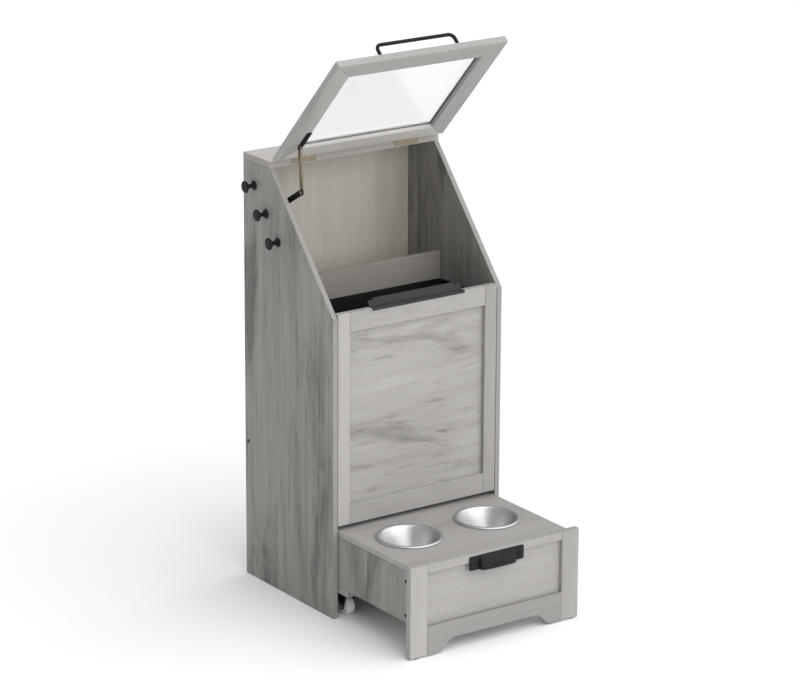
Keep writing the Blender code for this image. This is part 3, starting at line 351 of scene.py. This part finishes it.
# Black moulding, made darker than the plastic itself so that it also paints the shade inside the food bin.
BLACK_PLASTIC_AND_PAINTED_SHADE_TONES = ((0.003, 0.003, 0.003), (0.008, 0.008, 0.008))
NYLON_TONES = ((0.72, 0.72, 0.71), (0.86, 0.86, 0.85))

BLACK = speckled("powder_coat", 0.50, 0.0, BLACK_TONES, 1500, 0.00005, 0.13)
HOOD = speckled("pull_coat", 0.55, 0.0, HOOD_TONES, 1500, 0.00005)
BRONZE = speckled("bronze_plate", 0.40, 0.9, BRONZE_TONES, 900, 0.00002)
ZINC = speckled("zinc_plate", 0.36, 1.0, ZINC_TONES, 700, 0.00002)
PLASTIC = speckled("moulded_black", 0.50, 0.0, BLACK_PLASTIC_AND_PAINTED_SHADE_TONES, 900, 0.00006, 0.08)
NYLON = speckled("moulded_white", 0.38, 0.0, NYLON_TONES, 500, 0.00004)
SHEET = clear_sheet("clear_sheet")


def dress(name, material):
    """Gives a CAD piece its material."""
    NODES[name].data.materials.clear()
    NODES[name].data.materials.append(material)


# Boards cut from further along the timber, so that their figure falls where it looks best
FURTHER = {"door_panel": 3, "drawer_left_side": 7}

for number, (name, (turn, tones, shade, streaky, stained)) in enumerate(sorted(BOARDS.items())):
    cut = FURTHER.get(name, 0)
    offset = (0.37 * number + 3.1 * cut, 0.91 * number + 1.7 * cut, 1.73 * number + 2.3 * cut)
    dark, light = (tuple(shade * value for value in tone) for tone in tones)
    dress(name, oak("oak_" + name, turn, offset, dark, light, streaky, stained, EDGES.get(name)))

for side in ("left", "right"):
    for name in ("_hinge_board_leaf", "_hinge_lid_leaf", "_hinge_pin"):
        dress(side + name, BRONZE)
    dress(side + "_door_pivot_pin", ZINC)
dress("lid_window", SHEET)

# --- Building tools ------------------------------------------------------------------------------------


def piece(name, bm, material, body, matrix=SHIFT, replaces=(), sharp=35.0):
    """Ends a mesh: places it, shades it, ties it to its body and hides the CAD pieces it replaces."""
    bmesh.ops.transform(bm, matrix=matrix, verts=bm.verts)
    mesh = bpy.data.meshes.new(name)
    bm.to_mesh(mesh)
    bm.free()
    for polygon in mesh.polygons:
        polygon.use_smooth = True
    mesh.set_sharp_from_angle(angle=math.radians(sharp))
    mesh.materials.append(material)
    obj = bpy.data.objects.new(name, mesh)
    bpy.context.scene.collection.objects.link(obj)
    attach(obj, body)
    if replaces:
        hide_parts(*replaces)
    return obj


def facing(place, normal):
    """Puts a shape's +Z along a direction."""
    turn = Vector(normal).to_track_quat("Z", "Y").to_matrix().to_4x4()
    return Matrix.Translation(place) @ turn


def arc(centre, radius, start, end, steps):
    """Points along an arc, from one angle in degrees to another."""
    angles = [math.radians(start + (end - start) * step / steps) for step in range(steps + 1)]
    return [(centre[0] + radius * math.cos(a), centre[1] + radius * math.sin(a)) for a in angles]


def add_loft(bm, rings, closed_rings=True, cap=True, closed_path=False):
    """Faces between rings of points that all have the same count."""
    rows = [[bm.verts.new(point) for point in ring] for ring in rings]
    pairs = list(zip(rows, rows[1:]))
    if closed_path:
        pairs.append((rows[-1], rows[0]))
    count = len(rows[0])
    for first, second in pairs:
        for index in range(count if closed_rings else count - 1):
            after = (index + 1) % count
            bm.faces.new((first[index], first[after], second[after], second[index]))
    if cap and not closed_path:
        bm.faces.new(rows[0][::-1])
        bm.faces.new(rows[-1])
    return rows


def add_turned(bm, profile, steps, matrix=None):
    """A solid of revolution about Z. Its (radius, height) profile closes, or has both ends on the axis."""
    rings = []
    for step in range(steps):
        angle = math.tau * step / steps
        across, along = math.cos(angle), math.sin(angle)
        rings.append([(radius * across, radius * along, height) for radius, height in profile])
    part = bmesh.new()
    add_loft(part, rings, closed_rings=False, cap=False, closed_path=True)
    bmesh.ops.remove_doubles(part, verts=part.verts, dist=1e-7)
    merge(bm, part, matrix)
    return bm


def merge(bm, part, matrix=None):
    """Moves a mesh into another one, with its faces turned outwards."""
    bmesh.ops.recalc_face_normals(part, faces=part.faces)
    if matrix is not None:
        bmesh.ops.transform(part, matrix=matrix, verts=part.verts)
    mesh = bpy.data.meshes.new("part")
    part.to_mesh(mesh)
    part.free()
    bm.from_mesh(mesh)
    bpy.data.meshes.remove(mesh)
    return bm


def round_edges(part, edges, width):
    bmesh.ops.bevel(part, geom=edges, offset=width, segments=2, profile=0.5, affect="EDGES")


def add_box(bm, low, high, edge):
    """A box with rounded edges."""
    low, high = Vector(low), Vector(high)
    part = bmesh.new()
    bmesh.ops.create_cube(part, size=1.0)
    bmesh.ops.scale(part, vec=high - low, verts=part.verts)
    bmesh.ops.translate(part, vec=(low + high) / 2, verts=part.verts)
    round_edges(part, part.edges[:], edge)
    return merge(bm, part)


def add_plate(bm, outline, low, high, edge, matrix=None):
    """An outline of (u, v) given thickness along the third axis, with rounded edges."""
    part = bmesh.new()
    bottom = [part.verts.new((u, v, low)) for u, v in outline]
    face = part.faces.new(bottom)
    made = bmesh.ops.extrude_face_region(part, geom=[face])
    top = [item for item in made["geom"] if isinstance(item, bmesh.types.BMVert)]
    bmesh.ops.translate(part, vec=(0, 0, high - low), verts=top)
    bmesh.ops.recalc_face_normals(part, faces=part.faces)
    rims = [e for e in part.edges if abs(e.verts[0].co.z - e.verts[1].co.z) < 1e-9]
    round_edges(part, rims, edge)
    return merge(bm, part, matrix)


def rounded_rectangle(width, height, radius, centre, steps=6):
    points = []
    reach_u, reach_v = width / 2 - radius, height / 2 - radius
    for sign_u, sign_v, start in ((1, 1, 0), (-1, 1, 90), (-1, -1, 180), (1, -1, 270)):
        middle = (centre[0] + sign_u * reach_u, centre[1] + sign_v * reach_v)
        points += arc(middle, radius, start, start + 90, steps)
    return points


def slot_outline(first, second, width):
    """A strip between two points, with round ends about them."""
    steps = 16
    heading = math.degrees(math.atan2(second[1] - first[1], second[0] - first[0]))
    ahead = arc(second, width / 2, heading - 90, heading + 90, steps)
    behind = arc(first, width / 2, heading + 90, heading + 270, steps)
    return ahead + behind


# Plates lie in (u, v) with their thickness along the third axis
ACROSS_X = Matrix(((0, 0, 1, 0), (1, 0, 0, 0), (0, 1, 0, 0), (0, 0, 0, 1)))  # u = y, v = z
ACROSS_Y = Matrix(((1, 0, 0, 0), (0, 0, -1, 0), (0, 1, 0, 0), (0, 0, 0, 1)))  # u = x, v = z


def add_screw(bm, place, normal, radius, height, turn):
    """A low domed head with a cross recess."""
    steps = 32
    arm, blade, deep = radius * 0.62, radius * 0.15, height * 0.75
    cross = []
    for quarter in range(4):
        angle = quarter * math.pi / 2 + turn
        for u, v in ((blade, blade), (arm, blade), (arm, -blade)):
            c, s = math.cos(angle), math.sin(angle)
            cross.append((u * c - v * s, u * s + v * c))
    cross.sort(key=lambda point: math.atan2(point[1], point[0]))
    part = bmesh.new()
    top = height * 0.92
    rim = arc((0, 0), radius * 0.80, 0, 360 - 360 / steps, steps - 1)
    outer = [part.verts.new((u, v, top)) for u, v in rim]
    inner = [part.verts.new((u, v, top)) for u, v in cross]
    floor = [part.verts.new((u * 0.8, v * 0.8, top - deep)) for u, v in cross]
    edges = []
    for loop in (outer, inner):
        edges += [part.edges.new((a, b)) for a, b in zip(loop, loop[1:] + loop[:1])]
    bmesh.ops.triangle_fill(part, edges=edges, use_beauty=True)
    shoulder = [part.verts.new((u * 1.20, v * 1.20, top * 0.62)) for u, v in rim]
    foot = [part.verts.new((v.co.x * 1.04, v.co.y * 1.04, 0)) for v in shoulder]
    for first, second in ((inner, floor), (outer, shoulder), (shoulder, foot)):
        for index in range(len(first)):
            after = (index + 1) % len(first)
            part.faces.new((first[index], first[after], second[after], second[index]))
    part.faces.new(floor)
    part.faces.new(foot)
    return merge(bm, part, facing(place, normal))


# --- Bowls ---------------------------------------------------------------------------------------------

BOWL_PROFILE = [
    (0, -0.0425),
    (0.036, -0.0425),
    *arc((0.0400, -0.0345), 0.0080, 270, 340, 6),
    (0.0540, -0.0180),
    (0.0590, -0.0050),
    (0.0605, -0.0010),
    (0.0616, 0.0016),
    (0.0630, 0.0034),
    (0.0650, 0.0043),
    (0.0672, 0.0045),
    (0.0690, 0.0041),
    (0.0703, 0.0030),
    (0.0709, 0.0016),
    (0.0707, 0.0005),
    (0.0700, 0.0),
    (0.0692, 0.0003),
    (0.0693, 0.0014),
    (0.0684, 0.0026),
    (0.0668, 0.0030),
    (0.0648, 0.0026),
    (0.0634, 0.0010),
    (0.0620, -0.0020),
    (0.0560, -0.0180),
    *arc((0.0400, -0.0345), 0.0095, 340, 270, 6),
    (0.036, -0.0440),
    (0, -0.0440),
]

for side, x in BOWL_PLACES:
    place = SHIFT @ Vector((x, BOWL_Y, DRAWER_TOP_Z + GAP))
    bm = add_turned(bmesh.new(), BOWL_PROFILE, 96)
    steel = spun_steel(side + "_bowl_steel", place)
    name = side + "_bowl"
    piece(name + "_pressing", bm, steel, name, Matrix.Translation(place), (name,))

# --- Casters -------------------------------------------------------------------------------------------

FORK_PLATE = (0.034, 0.036)  # across and along the drawer
for side, sign in SIDES:
    x = sign * CASTER_X
    axle = Vector((x, CASTER_Y, WHEEL_RADIUS))
    inside, sheet, top = 0.011, 0.002, BATTEN_FOOT_Z
    bm = bmesh.new()
    plate = rounded_rectangle(*FORK_PLATE, 0.004, (x, CASTER_Y))
    add_plate(bm, plate, top - sheet, top, 0.0005)
    cheek = [
        (CASTER_Y + 0.015, top - sheet / 2),
        (CASTER_Y - 0.015, top - sheet / 2),
        (CASTER_Y - 0.014, top - 0.010),
        *arc((CASTER_Y, WHEEL_RADIUS), 0.0075, 200, 340, 16),
        (CASTER_Y + 0.014, top - 0.010),
    ]
    for face in (-1, 1):
        near = x + face * (inside + sheet / 2)
        add_plate(bm, cheek, near - sheet / 2, near + sheet / 2, 0.0005, ACROSS_X)
    fork = (side + "_caster_fork",)
    piece(side + "_fork_sheet", bm, BLACK, "drawer", replaces=fork)
    reach, head = inside + sheet + GAP, 0.0015
    end = [
        (0, reach + head),
        (0.0022, reach + head * 0.95),
        (0.0034, reach + head * 0.6),
        (0.0042, reach + 0.0001),
        (0.0025, reach),
    ]
    profile = end + [(radius, -height) for radius, height in reversed(end)]
    bm = add_turned(bmesh.new(), profile, 32, facing(axle, (1, 0, 0)))
    pin = (side + "_caster_axle",)
    piece(side + "_axle_rivet", bm, ZINC, "drawer", replaces=pin)
    half, rim = 0.009, WHEEL_RADIUS
    face = [
        (0.0029, half - 0.0001),
        (0.0068, half - 0.0001),
        (0.0074, half - 0.0007),
        (0.0078, half - 0.0022),
        (rim - 0.0050, half - 0.0026),
        (rim - 0.0042, half - 0.0010),
        (rim - 0.0034, half - 0.0001),
        (rim - 0.0020, half),
        *arc((rim - 0.0020, half - 0.0020), 0.0020, 80, 8, 6),
        (rim, half - 0.0040),
        (rim, 0.0008),
        (rim - 0.0004, 0.0004),
    ]
    profile = face + [(radius, -height) for radius, height in reversed(face)]
    bm = add_turned(bmesh.new(), profile + [face[0]], 64, facing(axle, (1, 0, 0)))
    wheel = (side + "_caster_wheel",)
    piece(side + "_wheel_moulding", bm, NYLON, side + "_wheel", replaces=wheel)

# --- Glides --------------------------------------------------------------------------------------------

GLIDE_PROFILE = [
    (0, 0.0020),
    (0.0063, 0.0020),
    (0.0065, 0.0018),
    (0.0065, 0.0010),
    (0.0060, 0.0003),
    (0.0050, 0),
    (0, 0),
]
for side, sign in SIDES:
    place = Vector((sign * GLIDE_X, FASCIA_Y + FRONT_THICKNESS / 2, 0))
    bm = add_turned(bmesh.new(), GLIDE_PROFILE, 40, Matrix.Translation(place))
    piece(side + "_glide_pad", bm, PLASTIC, "drawer", replaces=(side + "_glide",))

# --- Peg hooks -----------------------------------------------------------------------------------------

HOOK_PROFILE = [
    (0, 0.0260),
    (0.0060, 0.0259),
    (0.0098, 0.0253),
    *arc((0.0108, 0.0232), 0.0021, 80, -30, 6),
    (0.0115, 0.0205),
    (0.0085, 0.0190),
    (0.0058, 0.0178),
    (0.0047, 0.0155),
    (0.0045, 0.0120),
    (0.0045, 0.0070),
    (0.0052, 0.0048),
    (0.0080, 0.0034),
    (0.0096, 0.0024),
    (0.0100, 0.0012),
    (0.0099, GAP),
    (0.0022, GAP),
    (0.0022, -0.0080),
    (0, -0.0085),
]
SLOPE_UP = Vector((0, math.cos(SLOPE_ANGLE), math.sin(SLOPE_ANGLE)))
SLOPE_OUT = Vector((0, -math.sin(SLOPE_ANGLE), math.cos(SLOPE_ANGLE)))
HOOK_UP, HOOK_IN, HOOK_SPACING = 0.2905, 0.077, 0.068  # along and in from the sloping edge
HOOK_MIDDLE = Vector((-HALF_WIDTH, 0, SLOPE_FOOT_Z)) + SLOPE_UP * HOOK_UP - SLOPE_OUT * HOOK_IN
for number, step in enumerate((1, 0, -1), 1):
    place = HOOK_MIDDLE + SLOPE_UP * HOOK_SPACING * step
    bm = add_turned(bmesh.new(), HOOK_PROFILE, 64, facing(place, (-1, 0, 0)))
    piece(f"peg_{number}", bm, BLACK, "cabinet", replaces=(f"hook_{number}",))

# --- Lid handle ----------------------------------------------------------------------------------------


def lid_handle():
    """A wire bow: a straight bar, bent down to a foot with a small collar at each end."""
    foot, bar = LID_OUTER + GAP, LID_OUTER + 0.028
    half, bend, wire, inset, sides = 0.096, 0.012, 0.0039, 0.009, 28
    left = arc((-half + bend, bar - bend), bend, 180, 90, 14)
    right = arc((half - bend, bar - bend), bend, 90, 0, 14)
    path = [(-half, foot), *left, *right, (half, foot)]
    y = -LID_REACH + inset
    across = Vector((0, 1, 0))
    rings = []
    for index, (x, z) in enumerate(path):
        before = path[max(index - 1, 0)]
        after = path[min(index + 1, len(path) - 1)]
        along = Vector((after[0] - before[0], 0, after[1] - before[1])).normalized()
        out = along.cross(across)
        centre = Vector((x, y, z))
        ring = []
        for step in range(sides):
            angle = math.tau * step / sides
            ring.append(centre + across * wire * math.cos(angle) + out * wire * math.sin(angle))
        rings.append(ring)
    bm = bmesh.new()
    part = bmesh.new()
    add_loft(part, rings)
    merge(bm, part)
    collar = [(0, 0.0014), (0.0046, 0.0014), (0.0054, 0.0010), (0.0056, 0.0002), (0.0054, 0), (0, 0)]
    for x in (-half, half):
        add_turned(bm, collar, 32, Matrix.Translation((x, y, foot)))
    return bm


piece("handle_bar", lid_handle(), BLACK, "lid", LID, ("lid_handle",))

# --- Door pull -----------------------------------------------------------------------------------------


def door_pull():
    """A bent plate over the door's top edge: a lip in front and a hood behind, with two side cheeks."""
    plate, lip, cheek_inset = 0.0012, 0.005, 0.0015
    top = DOOR_TOP_Z + GAP + plate
    below_slope = 0.0004  # from the line of the side panels' sloping edges, square to it
    drop = below_slope / math.cos(SLOPE_ANGLE)
    rise = math.tan(SLOPE_ANGLE)
    bend_y = (top + drop - SLOPE_FOOT_Z) / rise
    under = plate / math.cos(SLOPE_ANGLE)

    def section(end_y):
        end_z = SLOPE_FOOT_Z - drop + end_y * rise
        knee_y = bend_y + plate * math.tan(SLOPE_ANGLE / 2)
        front = -GAP - plate
        return [
            (front, top - lip - plate),
            (-GAP, top - lip - plate),
            (-GAP, top - plate),
            (knee_y, top - plate),
            (knee_y + 0.0009, top - plate + 0.0007),
            (end_y + plate * math.sin(SLOPE_ANGLE), end_z - plate * math.cos(SLOPE_ANGLE)),
            (end_y, end_z),
            (bend_y + 0.0006, top + 0.0006 * rise),
            (bend_y - 0.0005, top),
            *arc((front + 0.0011, top - 0.0011), 0.0011, 90, 180, 5),
        ]

    bm = bmesh.new()
    hood_y, ear_y, hood_half, half = 0.0215, 0.0185, 0.103, 0.117
    add_plate(bm, section(hood_y), -hood_half, hood_half, 0.0003, ACROSS_X)
    add_plate(bm, section(ear_y), -half, -hood_half, 0.0003, ACROSS_X)
    add_plate(bm, section(ear_y), hood_half, half, 0.0003, ACROSS_X)
    hood_z = SLOPE_FOOT_Z - drop + hood_y * rise
    back = FRONT_THICKNESS + GAP
    cheek = [
        (back, DOOR_TOP_Z - 0.004),
        (hood_y - 0.0006, hood_z - under / 2 - 0.0006 * rise),
        (back, top - plate / 2 + (back - bend_y) * rise),
    ]
    for sign in (-1, 1):
        middle = sign * (hood_half - cheek_inset)
        add_plate(bm, cheek, middle - 0.001, middle + 0.001, 0.0003, ACROSS_X)
    return bm


piece("pull_plate", door_pull(), HOOD, "door", replaces=("door_pull",), sharp=25.0)

# --- Drawer pull ---------------------------------------------------------------------------------------


def cup_surface(half, projection, height, foot_z, back_y):
    """Quarter rings from end to end of a cup that is open below and rounds off at both ends."""
    stations, steps = 28, 14
    rings = []
    for station in range(stations + 1):
        along = -math.cos(math.pi * station / stations)
        x = half * along
        full = (1 - abs(along) ** 5) ** 0.2
        ring = []
        for step in range(steps + 1):
            angle = math.pi / 2 * step / steps
            y = back_y - projection * full * math.sin(angle)
            z = foot_z + height * math.cos(angle)
            ring.append((x, y, z))
        rings.append(ring)
    return rings


def drawer_pull():
    """A hooded cup between two screwed plates."""
    back_y = FASCIA_Y - GAP
    foot_z, height, projection, wall = 0.1652, 0.0298, 0.0155, 0.0015
    half, plate_x, plate_z, plate_width, plate, screw_x = 0.045, 0.0566, 0.180, 0.0245, 0.003, 0.0575
    part = bmesh.new()
    outer = cup_surface(half, projection, height, foot_z, back_y)
    inner = cup_surface(half - wall, projection - wall, height - wall, foot_z, back_y)
    rows_out = add_loft(part, outer, closed_rings=False, cap=False)
    rows_in = add_loft(part, inner, closed_rings=False, cap=False)
    rows = list(zip(rows_out, rows_in))
    for (first, first_in), (second, second_in) in zip(rows, rows[1:]):
        part.faces.new((first[-1], second[-1], second_in[-1], first_in[-1]))
        part.faces.new((first[0], first_in[0], second_in[0], second[0]))
    for row, other in (rows[0], rows[-1]):
        for index in range(len(row) - 1):
            part.faces.new((row[index], other[index], other[index + 1], row[index + 1]))
    bmesh.ops.remove_doubles(part, verts=part.verts, dist=2e-5)
    bm = bmesh.new()
    merge(bm, part)
    for sign in (-1, 1):
        outline = rounded_rectangle(plate_width, height, 0.003, (sign * plate_x, plate_z))
        add_plate(bm, outline, -back_y, -back_y + plate, 0.0006, ACROSS_Y)
        at = (sign * screw_x, back_y - plate + SINK, plate_z)
        add_screw(bm, at, (0, -1, 0), 0.0034, 0.0012, 0.4 * sign)
    return bm


piece("cup_pull", drawer_pull(), BLACK, "drawer", replaces=("drawer_pull",))

# --- Lid stay ------------------------------------------------------------------------------------------


def stay_arm(start, end, low_x):
    """A flat bar between two pivots."""
    outline = slot_outline((start.y, start.z), (end.y, end.z), ARM_WIDTH)
    return add_plate(bmesh.new(), outline, low_x, low_x + ARM_THICKNESS, 0.0006, ACROSS_X)


def rivet_head(height):
    """The domed end of a rivet whose shank ends at this height."""
    return [(0, height + 0.0011), (0.0022, height + 0.0010), (0.0036, height + 0.0006)]


SECOND_X = ARM_X + ARM_THICKNESS + GAP
bm = stay_arm(STAY_FOOT, ELBOW, ARM_X)
piece("lower_arm_bar", bm, BLACK, "stay_lower", replaces=("stay_lower_arm",))
bm = stay_arm(ELBOW, STAY_TOP, SECOND_X)
piece("upper_arm_bar", bm, BRONZE, "stay_upper", replaces=("stay_upper_arm",))

shank = 2 * ARM_THICKNESS + 3 * GAP
rivet = [
    *rivet_head(shank),
    (0.0042, shank + 0.0001),
    (0.0042, shank),
    (0.0020, shank),
    (0.0020, 0),
    (0.0042, 0),
    (0.0042, -0.0001),
    (0.0036, -0.0006),
    (0.0022, -0.0010),
    (0, -0.0011),
]
place = Vector((ARM_X - GAP, ELBOW.y, ELBOW.z))
bm = add_turned(bmesh.new(), rivet, 32, facing(place, (1, 0, 0)))
piece("elbow_pin", bm, BRONZE, "stay_lower", replaces=("stay_elbow_rivet",))

PLATE_X = -INNER + GAP
BOSS_END = ARM_X - GAP
BRACKET = 0.0018
shank = ARM_THICKNESS + 2 * GAP
boss = [
    *rivet_head(shank),
    (0.0042, shank),
    (0.0020, shank),
    (0.0020, 0),
    (0.0053, 0),
    (0.0060, -0.0008),
    (0.0060, PLATE_X + 0.0008 - BOSS_END),
    (0, PLATE_X + 0.0008 - BOSS_END),
]
bm = add_turned(bmesh.new(), boss, 40, facing((BOSS_END, STAY_FOOT.y, STAY_FOOT.z), (1, 0, 0)))
plate = rounded_rectangle(0.022, 0.030, 0.004, (STAY_FOOT.y, STAY_FOOT.z - 0.001))
add_plate(bm, plate, PLATE_X, PLATE_X + BRACKET, 0.0005, ACROSS_X)
for rise in (-0.0120, 0.0100):
    at = (PLATE_X + BRACKET - SINK, STAY_FOOT.y, STAY_FOOT.z + rise)
    add_screw(bm, at, (1, 0, 0), 0.0026, 0.0010, rise * 50)
piece("panel_bracket", bm, BLACK, "cabinet", replaces=("stay_panel_bracket",))

EAR_X = SECOND_X + ARM_THICKNESS + GAP
pin = [
    *rivet_head(shank),
    (0.0042, shank),
    (0.0020, shank),
    (0.0020, -0.001),
    (0, -0.001),
]
_, pivot_y, pivot_z = LID_PIVOT
face = LID_INNER - GAP
bm = add_turned(bmesh.new(), pin, 32, facing((EAR_X, pivot_y, pivot_z), (-1, 0, 0)))
ear = [
    (pivot_y + 0.004, face),
    (pivot_y - 0.026, face),
    (pivot_y - 0.020, face - 0.0030),
    *arc((pivot_y, pivot_z), 0.0055, 225, 360, 14),
]
add_plate(bm, ear, EAR_X, EAR_X + BRACKET, 0.0004, ACROSS_X)
low = (EAR_X, pivot_y - 0.044, face - BRACKET)
add_box(bm, low, (EAR_X + 0.013, pivot_y + 0.004, face), 0.0006)
for y in (pivot_y - 0.038, pivot_y - 0.012):
    add_screw(bm, (EAR_X + 0.0078, y, face - BRACKET + SINK), (0, 0, -1), 0.0026, 0.0010, y * 9)
piece("lid_bracket", bm, BLACK, "lid", LID, ("stay_lid_bracket",))

# --- Food bin ------------------------------------------------------------------------------------------


def tub():
    """A moulded tub: rounded corners, a rounded floor edge and a band round its rim."""
    middle = (BIN_LOW + BIN_HIGH) / 2
    size = BIN_HIGH - BIN_LOW
    foot, top = BIN_LOW.z, BIN_HIGH.z

    def ring(inset, z, radius):
        width, depth = size.x - 2 * inset, size.y - 2 * inset
        outline = rounded_rectangle(width, depth, radius, (middle.x, middle.y), 8)
        return [(u, v, z) for u, v in outline]

    wall, corner, bend, steps = 0.0025, 0.012, 0.006, 6
    inner = corner - wall
    angles = [math.pi / 2 * step / steps for step in range(1, steps + 1)]
    rings = [ring(corner * 0.9, foot, 0.004)]
    for angle in angles:
        inset = bend * (1 - math.sin(angle))
        rings.append(ring(inset, foot + bend * (1 - math.cos(angle)), corner - inset))
    rings += [
        ring(0.0009, foot + 0.020, corner),
        ring(0.0009, top - 0.030, corner),
        ring(0.0, top - 0.029, corner),
        ring(0.0, top - 0.0006, corner),
        ring(0.0006, top, corner),
        ring(wall - 0.0004, top, inner),
        ring(wall, top - 0.0006, inner),
        ring(wall, foot + wall + bend, inner),
    ]
    for angle in angles:
        inset = bend * (1 - math.cos(angle))
        z = foot + wall + bend * (1 - math.sin(angle))
        rings.append(ring(wall + inset, z, max(inner - inset, 0.002)))
    part = bmesh.new()
    add_loft(part, rings)
    bmesh.ops.remove_doubles(part, verts=part.verts, dist=1e-7)
    return merge(bmesh.new(), part)


piece("bin_moulding", tub(), PLASTIC, "door", replaces=("food_bin",))

# --- Screws --------------------------------------------------------------------------------------------

DRAWER_SCREW_Y, DRAWER_SCREWS_Z = -0.245, (0.085, 0.160)
bm = bmesh.new()
for _, sign in SIDES:
    for z in DRAWER_SCREWS_Z:
        place = (sign * (DRAWER_HALF_WIDTH - SINK), DRAWER_SCREW_Y, z)
        add_screw(bm, place, (sign, 0, 0), 0.0040, 0.0008, z * 7)
piece("drawer_side_screws", bm, BLACK, "drawer")

PANEL_SCREW_Y, PANEL_SCREW_Z, PANEL_SCREW_SINK = 0.322, 0.304, 0.0006
bm = bmesh.new()
for _, sign in SIDES:
    place = (sign * (HALF_WIDTH - PANEL_SCREW_SINK), PANEL_SCREW_Y, PANEL_SCREW_Z)
    add_screw(bm, place, (sign, 0, 0), 0.0045, 0.0015, 0.5)
piece("side_panel_screws", bm, BLACK, "cabinet")

# --- Floor, light and camera ---------------------------------------------------------------------------


def pale_floor():
    """A plain floor that reaches past every view."""
    mesh = bpy.data.meshes.new("floor")
    reach = 60.0
    corners = [(-reach, -reach, 0), (reach, -reach, 0), (reach, reach, 0), (-reach, reach, 0)]
    mesh.from_pydata(corners, [], [(0, 1, 2, 3)])
    material, _, shader = new_material("pale_floor", 0.9)
    shader.inputs["Base Color"].default_value = (0.965, 0.965, 0.965, 1.0)
    shader.inputs["Specular IOR Level"].default_value = 0.1
    mesh.materials.append(material)
    floor = bpy.data.objects.new("floor", mesh)
    bpy.context.scene.collection.objects.link(floor)


def sun(name, strength, softness, azimuth, elevation):
    """Soft light that comes from this azimuth, counted from the front towards the right."""
    lamp = bpy.data.lights.new(name, "SUN")
    lamp.energy = strength
    lamp.angle = math.radians(softness)
    obj = bpy.data.objects.new(name, lamp)
    a, e = math.radians(azimuth), math.radians(elevation)
    towards = Vector((math.sin(a) * math.cos(e), -math.cos(a) * math.cos(e), math.sin(e)))
    obj.rotation_euler = towards.to_track_quat("Z", "Y").to_euler()
    bpy.context.scene.collection.objects.link(obj)


def studio():
    """An even white surround with two broad, soft suns."""
    world = bpy.data.worlds.new("studio")
    world.use_nodes = True
    background = world.node_tree.nodes["Background"]
    background.inputs["Color"].default_value = (1.0, 1.0, 1.0, 1.0)
    background.inputs["Strength"].default_value = 0.52
    bpy.context.scene.world = world
    bpy.context.scene.view_settings.view_transform = "Standard"
    sun("key", 2.2, 110.0, 36.0, 46.0)
    sun("fill", 0.9, 80.0, 5.0, 18.0)


def camera():
    """A long lens to the left of the front, looking slightly down."""
    yaw, pitch, roll = math.radians(35.16), math.radians(17.33), math.radians(0.29)
    ahead = Vector((math.sin(yaw) * math.cos(pitch), math.cos(yaw) * math.cos(pitch), -math.sin(pitch)))
    level = Vector((math.cos(yaw), -math.sin(yaw), 0))
    above = level.cross(ahead)
    right = math.cos(roll) * level + math.sin(roll) * above
    up = math.cos(roll) * above - math.sin(roll) * level
    place = SHIFT @ Vector((-4.1950, -5.8887, 2.8294))
    lens = bpy.data.cameras.new("camera")
    lens.sensor_width = 36.0
    lens.lens = 163.7
    lens.clip_end = 200.0
    obj = bpy.data.objects.new("camera", lens)
    bpy.context.scene.collection.objects.link(obj)
    turn = Matrix((right, up, -ahead)).transposed().to_4x4()
    obj.matrix_world = Matrix.Translation(place) @ turn
    bpy.context.scene.camera = obj


pale_floor()
studio()
camera()
